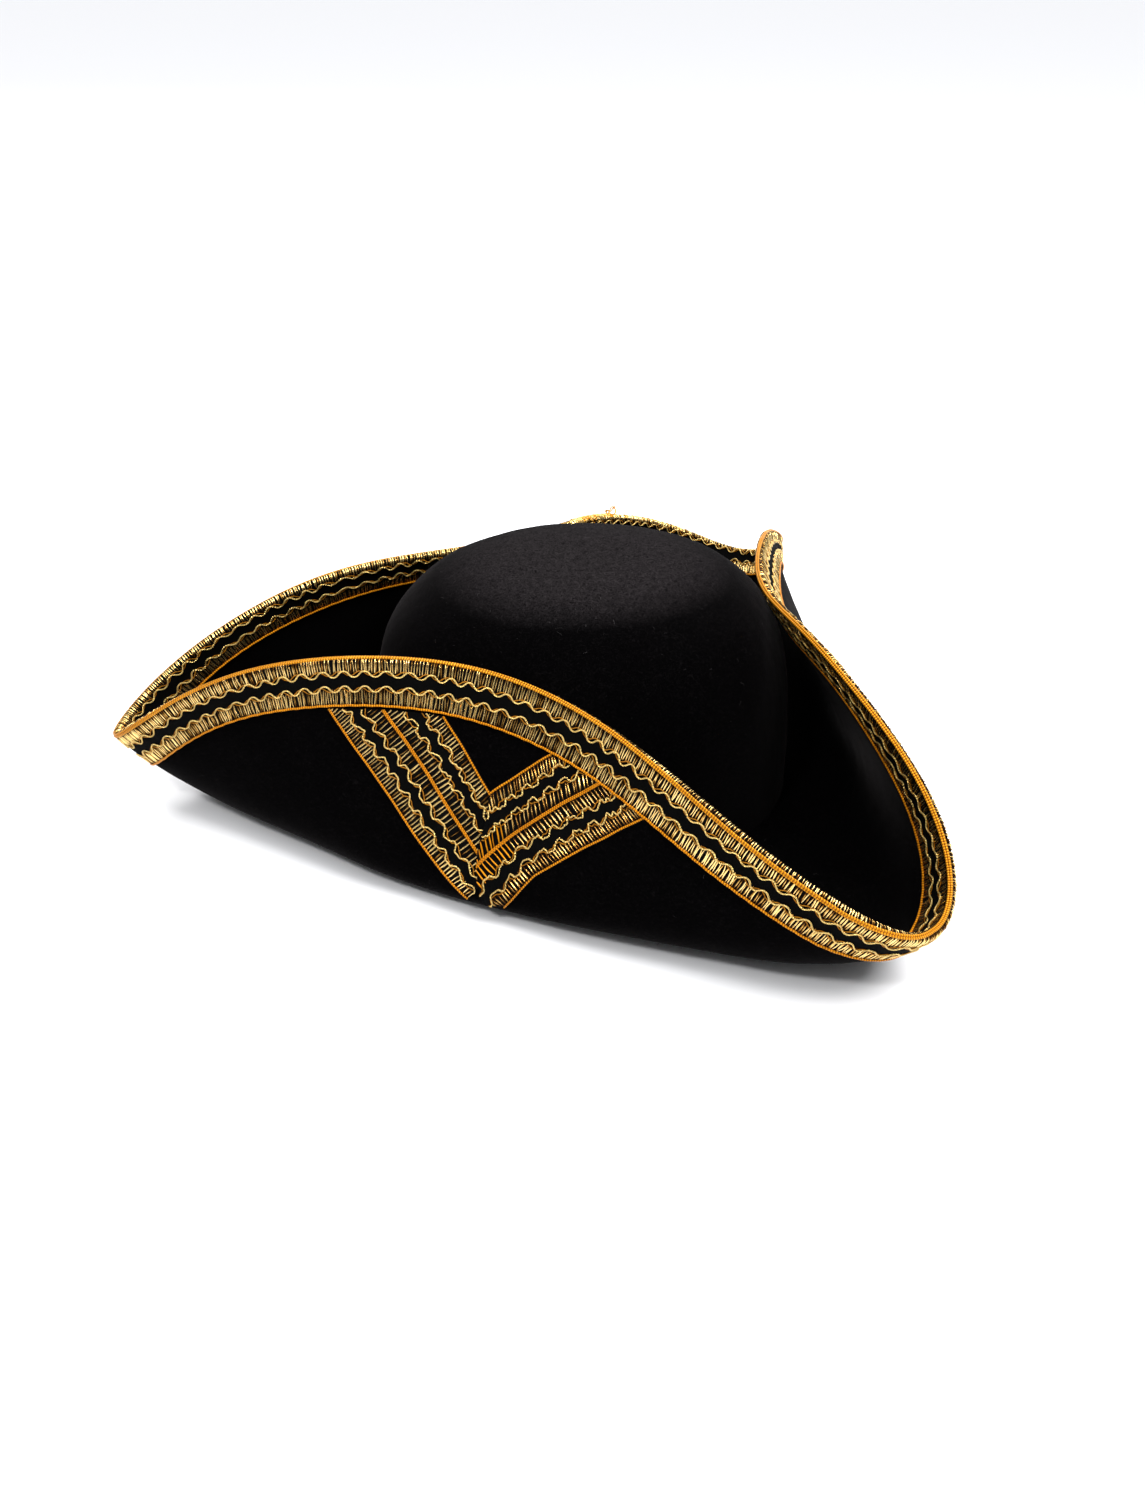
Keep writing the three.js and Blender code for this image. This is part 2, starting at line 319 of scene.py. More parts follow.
# The sky: its colour, its strength overhead, and the shares of that at heights from 0 to 1
SKY_COLOUR = (0.97, 0.98, 1, 1)
SKY_HIGH = 2.5
SKY_DIM = 0.03
SKY_HORIZON = 0.3
SKY_STOPS = [(0.0, SKY_HORIZON), (0.15, SKY_HORIZON), (0.22, SKY_DIM), (0.52, SKY_DIM), (0.95, 1.0)]
# Square area lights, all aimed at one place
LIGHT_TARGET = (0, 0.05, 0.05)
LIGHTS = [
    {"name": "key", "place": (0.75, 0.95, 1.7), "size": 0.75, "power": 34},
    {"name": "front_left", "place": (1.0, -0.6, 1.5), "size": 0.2, "power": 12},
    {"name": "back", "place": (-1.45, 0.5, 1.35), "size": 0.9, "power": 30},
]
# The camera looks at the middle of the head opening. Its forward way is level and of unit length, and it
# looks down by the height angle.
CAMERA_LENS = 33.56
CAMERA_SHIFT = (-0.0072, 0.0173)
CAMERA_HEIGHT_ANGLE = math.radians(32.56)
CAMERA_DISTANCE = 0.703
CAMERA_FORWARD = (-0.99396, 0.10973)


class HatSizes(bpy.types.PropertyGroup):
    """Sizes of the felt hood."""

    head_length: FloatProperty(
        name="Head length",
        description="Inside length of the head opening",
        default=195 * MM,
        unit="LENGTH",
    )
    head_width: FloatProperty(
        name="Head width",
        description="Inside width of the head opening",
        default=173 * MM,
        unit="LENGTH",
    )
    crown_height: FloatProperty(
        name="Crown height", description="Inside height of the crown", default=116 * MM, unit="LENGTH"
    )
    crown_squareness: FloatProperty(
        name="Crown squareness",
        description="Exponent of the dome's outline: 2 is an ellipse",
        default=3.75,
    )
    felt_thickness: FloatProperty(
        name="Felt thickness", description="Thickness of the felt", default=2.5 * MM, unit="LENGTH"
    )
    break_radius: FloatProperty(
        name="Break radius",
        description="Corner between the crown's wall and the brim, on the outside",
        default=1.5 * MM,
        unit="LENGTH",
    )
    rest_ring: FloatProperty(
        name="Rest ring",
        description="Flat ring of brim around the head opening",
        default=6 * MM,
        unit="LENGTH",
    )
    brim_width: FloatProperty(
        name="Brim width",
        description="From the flat ring to the cut edge, along the felt",
        default=127 * MM,
        unit="LENGTH",
    )
    fold_reach: FloatProperty(
        name="Fold reach",
        description="How far the flap's bottom runs out before it turns up, as a share of the brim's width",
        default=0.42,
    )


class BraidSizes(bpy.types.PropertyGroup):
    """Sizes of the lace braid and of the V that is made of it."""

    edge_leg: FloatProperty(
        name="Edge leg",
        description="How far the folded braid reaches in from the brim's edge on each face",
        default=21 * MM,
        unit="LENGTH",
    )
    v_width: FloatProperty(
        name="V width",
        description="Width of the braid laid flat in the V",
        default=39 * MM,
        unit="LENGTH",
    )
    v_depth: FloatProperty(
        name="V depth",
        description="From the brim's edge to the point of the V's centre line",
        default=70 * MM,
        unit="LENGTH",
    )
    v_middle: FloatProperty(
        name="V middle",
        description="Where the V's point lies around the crown, from the front corner",
        default=math.radians(60),
        unit="ROTATION",
    )
    v_front_angle: FloatProperty(
        name="V front angle",
        description="Front arm from the line that runs straight out",
        default=math.radians(56),
        unit="ROTATION",
    )
    v_rear_angle: FloatProperty(
        name="V rear angle",
        description="Rear arm from the line that runs straight out",
        default=math.radians(46),
        unit="ROTATION",
    )
    flap_stretch: FloatProperty(
        name="Flap stretch",
        description="How much longer the flap runs at the V than the flat brim did",
        default=1.2,
    )
    ground_thickness: FloatProperty(
        name="Ground thickness",
        description="Thickness of the black woven ground",
        default=0.45 * MM,
        unit="LENGTH",
    )
    rung_pitch: FloatProperty(
        name="Rung pitch",
        description="From one metal bar to the next, on the edge braid",
        default=1.15 * MM,
        unit="LENGTH",
    )
    v_rung_pitch: FloatProperty(
        name="V rung pitch",
        description="From one metal bar to the next, on the V",
        default=2.1 * MM,
        unit="LENGTH",
    )
    rung_width: FloatProperty(
        name="Rung width", description="Width of a metal bar", default=0.66 * MM, unit="LENGTH"
    )
    wave_length: FloatProperty(
        name="Wave length",
        description="Length of one wave of the wavy cords",
        default=9.2 * MM,
        unit="LENGTH",
    )
    wave_swing: FloatProperty(
        name="Wave swing",
        description="How far a wavy cord swings to each side",
        default=1.25 * MM,
        unit="LENGTH",
    )
    wave_radius: FloatProperty(
        name="Wave radius", description="Radius of a wavy cord", default=0.36 * MM, unit="LENGTH"
    )
    cord_radius: FloatProperty(
        name="Cord radius", description="Radius of a border cord", default=0.52 * MM, unit="LENGTH"
    )


class HatColours(bpy.types.PropertyGroup):
    """Colours of the felt and of the braid's threads."""

    felt: FloatVectorProperty(
        name="Felt",
        description="Black wool felt",
        subtype="COLOR",
        size=3,
        default=(0.0005, 0.00042, 0.0005),
    )
    felt_fibre: FloatVectorProperty(
        name="Felt fibre",
        description="Paler fibres in the felt",
        subtype="COLOR",
        size=3,
        default=(0.006, 0.0052, 0.0055),
    )
    # Painted sheen: a lighter colour for fibre streaks on the crown's upward-facing top, standing in for the
    # light that falls there
    felt_top_sheen: FloatVectorProperty(
        name="Felt top sheen",
        description="Painted sheen in fibre streaks where the felt faces up",
        subtype="COLOR",
        size=3,
        default=(0.026, 0.0224, 0.0235),
    )
    ground: FloatVectorProperty(
        name="Ground",
        description="Black woven ground",
        subtype="COLOR",
        size=3,
        default=(0.0005, 0.0005, 0.0005),
    )
    orange: FloatVectorProperty(
        name="Orange cord",
        description="Cords at the braid's borders and middle",
        subtype="COLOR",
        size=3,
        default=(0.78, 0.29, 0.004),
    )
    pale_gold: FloatVectorProperty(
        name="Pale gold",
        description="Wavy cords",
        subtype="COLOR",
        size=3,
        default=(1.0, 0.73, 0.27),
    )
    # Light colour of the metal bars, used for the painted highlight along each bar's middle and for light
    # bars
    bar_light: FloatVectorProperty(
        name="Bar light",
        description="Metal bars' light colour: painted highlight in their middles, and light bars",
        subtype="COLOR",
        size=3,
        default=(1.0, 0.72, 0.28),
    )
    # Dark colour of the metal bars, used for the painted shade at each bar's ends and flanks and for dark
    # bars
    bar_dark: FloatVectorProperty(
        name="Bar dark",
        description="Metal bars' dark colour: painted shade at their ends and flanks, and dark bars",
        subtype="COLOR",
        size=3,
        default=(0.07, 0.023, 0.002),
    )
    bronze: FloatVectorProperty(
        name="Bronze",
        description="Thin threads beside the wavy cords",
        subtype="COLOR",
        size=3,
        default=(0.5, 0.19, 0.012),
    )


# Shape of the hat


def blend_around(values, angle):
    """Smooth closed curve through values that are evenly spaced around the hat."""
    terms = np.fft.rfft(values)
    share = np.full(len(terms), 2.0)
    share[[0, -1]] = 1.0
    turns = np.exp(1j * np.multiply.outer(angle, np.arange(len(terms))))
    return (turns * terms * share).real.sum(axis=-1) / len(values)


def column_around(name, sign=1):
    """A column of the section table all the way round: mirrored, or mirrored and turned about."""
    half = [row[name] for row in BRIM_SECTIONS]
    return half + [sign * value for value in half[-2:0:-1]]


def unit(vectors):
    return vectors / np.linalg.norm(vectors, axis=-1, keepdims=True)


def smooth_step(value):
    share = np.clip(value, 0, 1)
    return share * share * (3 - 2 * share)


class Hat:
    """The hat's surfaces. Angles run around the crown from the front corner, lengths come from the
    brim's edge along the felt, and lifts go from the outer face through the felt to the crown's side."""

    def __init__(self, sizes, braid):
        self.sizes = sizes
        self.braid = braid
        self.inner_break = sizes.break_radius + sizes.felt_thickness
        self.flat_outer = self.inner_break + sizes.rest_ring
        mean_head = (sizes.head_length + sizes.head_width) / 4
        self.blank_edge = mean_head + self.flat_outer + sizes.brim_width
        self.angles = np.arange(TABLE_PLACES) * TAU / TABLE_PLACES
        self.lengths = np.arange(-TABLE_PAST_EDGE, TABLE_LONGEST, TABLE_STEP)
        self.measure_flaps()
        self.measure_edge()

    def head_line(self, angle):
        """Head opening's outline, its outward normal and its direction."""
        half_width = self.sizes.head_width / 2
        half_length = self.sizes.head_length / 2
        zero = np.zeros_like(angle)
        point = np.stack([half_width * np.sin(angle), -half_length * np.cos(angle), zero], axis=-1)
        normal = unit(np.stack([np.sin(angle) / half_width, -np.cos(angle) / half_length, zero], axis=-1))
        along = np.stack([-normal[..., 1], normal[..., 0], zero], axis=-1)
        return point, normal, along

    def measure_flaps(self):
        """Tables of the outer face and of the way through the felt, and each flap's length."""
        width = self.sizes.brim_width
        angles = self.angles
        point, normal, along = self.head_line(angles)
        blend = {name: blend_around(column_around(name), angles) for name in ("out", "up", "lean", "reach")}
        blend["along"] = blend_around(column_around("along", -1), angles)
        lean = np.radians(blend["lean"])
        up = np.array([0.0, 0.0, 1.0])
        start = point + normal * self.flat_outer
        end = start + width * (normal * blend["out"][:, None] + along * blend["along"][:, None])
        end += width * blend["up"][:, None] * up
        off_corner = (angles - CORNER_SAG_AROUND) / CORNER_SAG_REACH
        end += CORNER_SAG * np.exp(-(off_corner**2))[:, None]
        direction = normal * np.sin(lean)[:, None] + up * np.cos(lean)[:, None]
        bottom = start + normal * self.sizes.fold_reach * width
        top = end - direction * width * blend["reach"][:, None]
        share = np.linspace(0, 1, PROFILE_STEPS + 1)[None, :, None]
        curves = (
            (1 - share) ** 3 * start[:, None]
            + 3 * (1 - share) ** 2 * share * bottom[:, None]
            + 3 * (1 - share) * share**2 * top[:, None]
            + share**3 * end[:, None]
        )
        steps = np.linalg.norm(np.diff(curves, axis=1), axis=2)
        run = np.concatenate([np.zeros((len(angles), 1)), np.cumsum(steps, axis=1)], axis=1)
        self.flap_lengths = run[:, -1]
        face = np.empty((len(angles), len(self.lengths), 3))
        for i, flap in enumerate(self.flap_lengths):
            for axis in range(3):
                face[i, :, axis] = np.interp(flap - self.lengths, run[i], curves[i, :, axis])
        past = np.clip(-self.lengths, 0, None)
        inside = np.clip(self.lengths[None, :] - self.flap_lengths[:, None], 0, None)
        face += direction[:, None] * past[None, :, None] - normal[:, None] * inside[:, :, None]
        across = np.roll(face, -1, axis=0) - np.roll(face, 1, axis=0)
        inwards = np.gradient(face, axis=1)
        through = unit(np.cross(across, inwards))
        edge = int(round(TABLE_PAST_EDGE / TABLE_STEP))
        through[:, :edge] = through[:, edge : edge + 1]
        self.face = face + CROWN_MIDDLE
        self.through = through

    def look_up(self, table, angle, length):
        """A table's value at places on the brim, blended between its four nearest ones."""
        row = np.mod(angle, TAU) / TAU * TABLE_PLACES
        column = np.clip((length - self.lengths[0]) / TABLE_STEP, 0, len(self.lengths) - 1.001)
        row_low = np.floor(row).astype(int)
        column_low = np.floor(column).astype(int)
        row_share = (row - row_low)[..., None]
        column_share = (column - column_low)[..., None]
        rows = (row_low % TABLE_PLACES, (row_low + 1) % TABLE_PLACES)
        low, high = (
            table[r, column_low] * (1 - column_share) + table[r, column_low + 1] * column_share
            for r in rows
        )
        return low * (1 - row_share) + high * row_share

    def felt_point(self, angle, length, lift):
        through = unit(self.look_up(self.through, angle, length))
        return self.look_up(self.face, angle, length) + through * np.asarray(lift)[..., None]

    def flap_length(self, angle):
        closed = np.append(self.flap_lengths, self.flap_lengths[0])
        return np.interp(np.mod(angle, TAU), np.append(self.angles, TAU), closed)

    def dome_point(self, angle, rise, lift):
        """Dome: a point of its inner face, lifted outwards."""
        power = 2 / self.sizes.crown_squareness
        point, normal, _ = self.head_line(angle)
        top = self.sizes.crown_height - self.inner_break
        high, wide = np.sin(rise), np.cos(rise)
        slope = normal * (wide ** (2 - power) / (self.sizes.head_width / 2))[..., None]
        slope[..., 2] = high ** (2 - power) / top
        dome = point * (wide**power)[..., None]
        dome[..., 2] = self.inner_break + top * high**power
        return dome + unit(slope) * lift + CROWN_MIDDLE

    def break_point(self, angle, turn, lift):
        """The rounded break between the crown's wall and the flat ring."""
        point, normal, _ = self.head_line(angle)
        radius = self.inner_break - lift
        place = point + normal * (self.inner_break - radius * np.cos(turn))[..., None]
        place[..., 2] = self.inner_break - radius * np.sin(turn)
        return place + CROWN_MIDDLE

    def measure_edge(self):
        """Lines square to the brim's edge, and the run along the middle of the folded braid's leg."""
        step_angle = TAU / TABLE_PLACES
        across = (np.roll(self.face, -1, axis=0) - np.roll(self.face, 1, axis=0)) / (2 * step_angle)
        inwards = np.gradient(self.face, TABLE_STEP, axis=1)
        slant = (across * inwards).sum(axis=2) / (across * across).sum(axis=2)
        slant_table = slant[..., None]
        self.square_lengths = np.arange(*SQUARE_REACH, TABLE_STEP)
        middle = int(np.argmin(abs(self.square_lengths - self.braid.edge_leg / 2)))
        self.square_shift = np.zeros((TABLE_PLACES, len(self.square_lengths)))
        for order in (range(middle, len(self.square_lengths) - 1), range(middle, 0, -1)):
            for k in order:
                way = 1 if order.step > 0 else -1
                here = self.angles + self.square_shift[:, k]
                length = np.full(TABLE_PLACES, max(self.square_lengths[k], 0))
                slope = self.look_up(slant_table, here, length)[:, 0]
                self.square_shift[:, k + way] = self.square_shift[:, k] - way * slope * TABLE_STEP
        leg_middle = self.felt_point(self.angles, np.full(TABLE_PLACES, self.braid.edge_leg / 2), 0.0)
        steps = np.linalg.norm(np.roll(leg_middle, -1, axis=0) - leg_middle, axis=1)
        self.run = np.concatenate([[0], np.cumsum(steps)])
        self.run_total = self.run[-1]

    def angle_at_run(self, run):
        turns = np.floor(run / self.run_total)
        part = np.interp(run - turns * self.run_total, self.run, np.append(self.angles, TAU))
        return part + turns * TAU

    def edge_point(self, run, across, height):
        """A point of the folded braid: its run along the edge, its signed length from the fold over the
        braid's surface, positive on the outer face, and its height above that surface."""
        felt_middle = self.sizes.felt_thickness / 2
        fold = felt_middle + BRAID_GAP + self.braid.ground_thickness
        quarter = fold * math.pi / 2
        side = np.sign(across)
        turn = np.clip(np.abs(across), 0, quarter) / fold
        reach = fold + height
        length = np.clip(np.abs(across) - quarter, 0, None) - reach * np.cos(turn)
        lift = felt_middle - side * reach * np.sin(turn)
        angle = self.angle_at_run(run)
        column = (length - self.square_lengths[0]) / TABLE_STEP
        column = np.clip(column, 0, len(self.square_lengths) - 1.001)
        row = np.mod(angle, TAU) / TAU * TABLE_PLACES
        row_low, column_low = np.floor(row).astype(int), np.floor(column).astype(int)
        row_share, column_share = row - row_low, column - column_low
        shift = 0.0
        for i, row_weight in ((0, 1 - row_share), (1, row_share)):
            for j, column_weight in ((0, 1 - column_share), (1, column_share)):
                cell = self.square_shift[(row_low + i) % TABLE_PLACES, column_low + j]
                shift = shift + row_weight * column_weight * cell
        return self.felt_point(angle + shift, length, lift)


class VArm:
    """One arm of the V: its run from the mitre and its signed width, positive towards the V's inside."""

    def __init__(self, hat, angle, inside, over, wander, end, sag=0.0):
        braid = hat.braid
        self.hat = hat
        self.over = over
        self.sag = sag
        self.half_width = braid.v_width / 2
        self.direction = np.array([math.sin(angle), math.cos(angle)])
        self.side = inside * np.array([math.cos(angle), -math.sin(angle)])
        self.corner = np.array([0.0, hat.blank_edge - braid.v_depth])
        self.half_mitre = (braid.v_front_angle + braid.v_rear_angle) / 2
        self.end = end
        self.wander_run = np.arange(WANDER_START, V_LONGEST, WANDER_STEP)
        runs = [row["run"] for row in wander]
        shifts = [row["shift"] for row in wander]
        straight = np.interp(self.wander_run, runs, shifts)
        blur = np.hanning(WANDER_BLUR)
        padded = np.pad(straight, len(blur) // 2, mode="edge")
        self.wander = np.convolve(padded, blur / blur.sum(), mode="valid")

    def on_brim(self, run, across):
        """Place around the hat and length from the edge."""
        low = np.clip(-across / self.half_width, 0, SAG_WIDEST)
        sag = self.sag * low * np.clip(SAG_REACH - run, 0, None)
        across = across + np.interp(run, self.wander_run, self.wander) - sag
        x = self.corner[0] + run * self.direction[0] + across * self.side[0]
        y = self.corner[1] + run * self.direction[1] + across * self.side[1]
        round_flap = x / self.hat.braid.flap_stretch
        angle = self.hat.braid.v_middle + np.arctan2(round_flap, y)
        return angle, self.hat.blank_edge - np.hypot(round_flap, y)

    def end_run(self, across):
        """Where the arm's cut end lies."""
        places = [row["across"] for row in self.end]
        runs = [row["run"] for row in self.end]
        return np.interp(across / self.half_width, places, runs) * self.half_width

    def covered(self, run, across):
        """True where the arm shows: past its end and below the folded braid."""
        _, length = self.on_brim(run, across)
        return (run > self.end_run(across)) & (length > self.hat.braid.edge_leg - TUCK_REACH)

    def point(self, run, across, height):
        angle, length = self.on_brim(run, across)
        past = run - across / math.tan(self.half_mitre)
        fold_rise = self.over * (1 - smooth_step((past - OVERLAP_START) / OVERLAP_SLOPE))
        tucked = TUCK_DEPTH * (1 - smooth_step((length - self.hat.braid.edge_leg) / TUCK_SLOPE))
        lift = -(height + self.hat.braid.ground_thickness + BRAID_GAP + fold_rise - tucked)
        return self.hat.felt_point(angle, length, lift)


# Meshes


class Pile:
    """Grids of points gathered into one mesh, with a UV map and a tone for each point."""

    def __init__(self):
        self.points, self.uvs, self.tones, self.faces = [], [], [], []
        self.count = 0

    def add(self, points, uv, tone=0.5, around=False, close=False):
        """points and uv are grids, alone or many in one array. around joins each row's ends, and close
        the first and last row."""
        points = np.asarray(points)
        if points.ndim == 3:
            points, uv = points[None], np.asarray(uv)[None]
        many, rows, columns, _ = points.shape
        index = self.count + np.arange(many * rows * columns).reshape(many, rows, columns)
        if around:
            index = np.concatenate([index, index[:, :, :1]], axis=2)
        if close:
            index = np.concatenate([index, index[:, :1]], axis=1)
        corners = (index[:, :-1, :-1], index[:, 1:, :-1], index[:, 1:, 1:], index[:, :-1, 1:])
        self.faces.append(np.stack(corners, axis=-1).reshape(-1, 4))
        self.points.append(points.reshape(-1, 3))
        self.uvs.append(np.broadcast_to(uv, (many, rows, columns, 2)).reshape(-1, 2))
        tone = np.asarray(tone, dtype=float)
        tone = tone.reshape(tone.shape + (1,) * (3 - tone.ndim))
        self.tones.append(np.broadcast_to(tone, (many, rows, columns)).reshape(-1))
        self.count += many * rows * columns

    def make(self, name, material):
        points, uvs = np.concatenate(self.points), np.concatenate(self.uvs)
        faces, tones = np.concatenate(self.faces), np.concatenate(self.tones)
        mesh = bpy.data.meshes.new(name)
        mesh.vertices.add(len(points))
        mesh.vertices.foreach_set("co", points.astype(np.float32).ravel())
        mesh.loops.add(faces.size)
        mesh.loops.foreach_set("vertex_index", faces.astype(np.int32).ravel())
        mesh.polygons.add(len(faces))
        mesh.polygons.foreach_set("loop_start", np.arange(0, faces.size, 4, dtype=np.int32))
        mesh.update(calc_edges=True)
        strand = mesh.uv_layers.new(name="strand")
        strand.data.foreach_set("uv", uvs[faces.ravel()].astype(np.float32).ravel())
        tone = mesh.attributes.new("tone", "FLOAT", "POINT")
        tone.data.foreach_set("value", tones.astype(np.float32))
        mesh.polygons.foreach_set("use_smooth", np.full(len(faces), True))
        mesh.validate()
        mesh.materials.append(material)
        piece = bpy.data.objects.new(name, mesh)
        bpy.context.scene.collection.objects.link(piece)
        return piece


def dress(piece, slot, *nodes):
    """The piece belongs to the hat and stands for CAD nodes, which it hides. The slot argument is not used.
    """
    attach(piece, "root")
    if nodes:
        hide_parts(*nodes)


def soft_swell(points, wave_length, rng, terms=9):
    """Smooth seeded noise over points, from about -1 to 1."""
    total = np.zeros(points.shape[:-1])
    for _ in range(terms):
        way = unit(rng.normal(size=3)) * TAU / (wave_length * rng.uniform(0.6, 1.5))
        total += np.sin(points @ way + rng.uniform(0, TAU))
    return total / math.sqrt(terms)


def strand_grid(run, across, height, radius, sides):
    """Half tube that lies on the braid, open below: run, across and height of each of its points, and
    its UV map, which holds metres along it and the share around it."""
    step_run, step_across = np.gradient(run), np.gradient(across)
    stride = np.hypot(step_run, step_across)
    turn = np.linspace(-STRAND_SKIRT, math.pi + STRAND_SKIRT, sides + 1)
    side_way = radius[:, None] * np.cos(turn)
    grid_run = run[:, None] - (step_across / stride)[:, None] * side_way
    grid_across = across[:, None] + (step_run / stride)[:, None] * side_way
    grid_height = height[:, None] + radius[:, None] * np.sin(turn)
    along = np.cumsum(stride) - stride[0]
    uv = np.stack(np.broadcast_arrays(along[:, None], turn / math.pi), axis=-1)
    return grid_run, grid_across, grid_height, uv


def rung_grids(run, low, high, sizes, rng, loops, tilt=0.0, slim=1.0):
    """Many metal bars across the braid, each raised in its middle, in pairs that bow apart by loops: run,
    across and height of their points, their UV map and their tones."""
    count = len(run)
    share = np.linspace(0, 1, RUNG_STATIONS)
    width = slim * sizes.rung_width * rng.normal(1.0, 0.2, count).clip(0.5, 1.5)
    arch = RUNG_ARCH * rng.normal(1.0, 0.3, count).clip(0.4, 1.8)
    slant = tilt + rng.normal(0, 0.05, count)
    pair = np.where(np.arange(count) % 2 == 0, 1.0, -1.0)
    bow = pair * loops * rng.uniform(0.2, 1.5, count) + rng.normal(0, RUNG_STRAY, count)
    turn = np.linspace(0, math.pi, RUNG_SIDES + 1)
    swell = np.sin(math.pi * (0.1 + 0.8 * share)) ** 0.5
    middle = run[:, None] + slant[:, None] * (share - 0.5) * (high - low)[:, None]
    middle = middle + bow[:, None] * (np.sin(math.pi * share) - 0.35)
    grid_run = middle[:, :, None] + (width[:, None] / 2 * swell)[:, :, None] * np.cos(turn)
    grid_across = (low[:, None] + (high - low)[:, None] * share)[:, :, None] + 0 * grid_run
    grid_height = RUNG_LIFT + (arch[:, None] * swell)[:, :, None] * np.sin(turn)
    uv = np.stack(np.broadcast_arrays(turn / math.pi, share[:, None]), axis=-1)
    uv = np.broadcast_to(uv, grid_run.shape + (2,))
    dark = rng.random(count) < DARK_RUNGS
    tone = np.where(dark, rng.uniform(0, 0.25, count), rng.beta(2.4, 1.5, count))
    return grid_run, grid_across, grid_height, uv, tone


class Waves:
    """Two wavy cords that swing together, with slightly uneven waves over one length of braid."""

    def __init__(self, length, sizes, rng):
        self.length = length
        self.sizes = sizes
        self.count = round(length / sizes.wave_length)
        self.order = rng.integers(3, 40, 6)
        self.shift = rng.uniform(0, TAU, 6)

    def path(self, middle, start=0.0, step=0.55 * MM, swing=1.0, phase=0.0):
        """Run and across of one cord, whose middle line is given."""
        run = start + np.linspace(0, self.length, int(round(self.length / step)) + 1)
        turn = TAU * run / self.length
        stray = [WAVE_STRAY * np.sin(order * turn + shift) for order, shift in zip(self.order, self.shift)]
        slow, quick = WAVE_SIZES
        size = 1 + slow * np.sin(self.order[0] * turn + 1) + quick * np.sin(self.order[1] * turn)
        swings = np.sin(self.count * turn + sum(stray) + phase)
        rounded = swings * (1 + WAVE_ROUNDING - WAVE_ROUNDING * swings * swings)
        return run, middle + swing * self.sizes.wave_swing * size * rounded


# Materials


class Nodes:
    """Short way to add and link nodes in one tree."""

    def __init__(self, tree):
        self.tree = tree

    def add(self, kind, inputs=None, **settings):
        node = self.tree.nodes.new(kind)
        for key, value in settings.items():
            setattr(node, key, value)
        for key, value in (inputs or {}).items():
            self.feed(node.inputs[key], value)
        return node

    def feed(self, socket, value):
        if isinstance(value, bpy.types.NodeSocket):
            self.tree.links.new(value, socket)
        else:
            socket.default_value = value

    def math(self, operation, *values):
        node = self.add("ShaderNodeMath", operation=operation)
        for socket, value in zip(node.inputs, values):
            self.feed(socket, value)
        return node.outputs[0]

    def ramp(self, value, stops):
        node = self.add("ShaderNodeValToRGB", {"Fac": value})
        elements = node.color_ramp.elements
        while len(elements) < len(stops):
            elements.new(0.5)
        for element, (place, colour) in zip(elements, stops):
            element.position = place
            element.color = colour if len(colour) == 4 else (*colour, 1)
        return node.outputs["Color"]

    def mix(self, share, low, high):
        node = self.add("ShaderNodeMix", data_type="RGBA")
        for name, value in (("Factor_Float", share), ("A_Color", low), ("B_Color", high)):
            socket = next(s for s in node.inputs if s.identifier == name)
            colour = not isinstance(value, bpy.types.NodeSocket) and name != "Factor_Float"
            self.feed(socket, (*value[:3], 1) if colour else value)
        return next(s for s in node.outputs if s.identifier == "Result_Color")

    def group(self, tree, inputs):
        node = self.add("ShaderNodeGroup", node_tree=tree)
        for key, value in inputs.items():
            self.feed(node.inputs[key], value)
        return node.outputs


def new_group(name, inputs, outputs):
    """Empty node group with its sockets: name, type and default of each input."""
    group = bpy.data.node_groups.new(name, "ShaderNodeTree")
    for label, kind, default in inputs:
        socket = group.interface.new_socket(name=label, in_out="INPUT", socket_type=kind)
        socket.default_value = default
    for label, kind in outputs:
        group.interface.new_socket(name=label, in_out="OUTPUT", socket_type=kind)
    return group, Nodes(group)


def grey(value):
    return (value, value, value, 1)


def wear_group():
    """Slow changes of tarnish over the hat."""
    group, nodes = new_group("wear", [("Scale", "NodeSocketFloat", 60.0)], [("Tarnish", "NodeSocketFloat")])
    inside = nodes.add("NodeGroupInput")
    place = nodes.add("ShaderNodeTexCoord").outputs["Object"]
    scale = inside.outputs["Scale"]
    clouds = {"Vector": place, "Scale": scale, "Detail": 3.0, "Roughness": 0.6}
    slow = nodes.add("ShaderNodeTexNoise", clouds)
    quick = nodes.math("MULTIPLY", scale, 9.0)
    fine = nodes.add("ShaderNodeTexNoise", {"Vector": place, "Scale": quick, "Detail": 2.0})
    both = nodes.math("ADD", slow.outputs["Fac"], nodes.math("MULTIPLY", fine.outputs["Fac"], 0.5))
    tarnish = nodes.add("ShaderNodeMapRange", {"Value": both, "From Min": 0.5, "From Max": 1.0})
    out = nodes.add("NodeGroupOutput")
    nodes.feed(out.inputs["Tarnish"], tarnish.outputs["Result"])
    return group


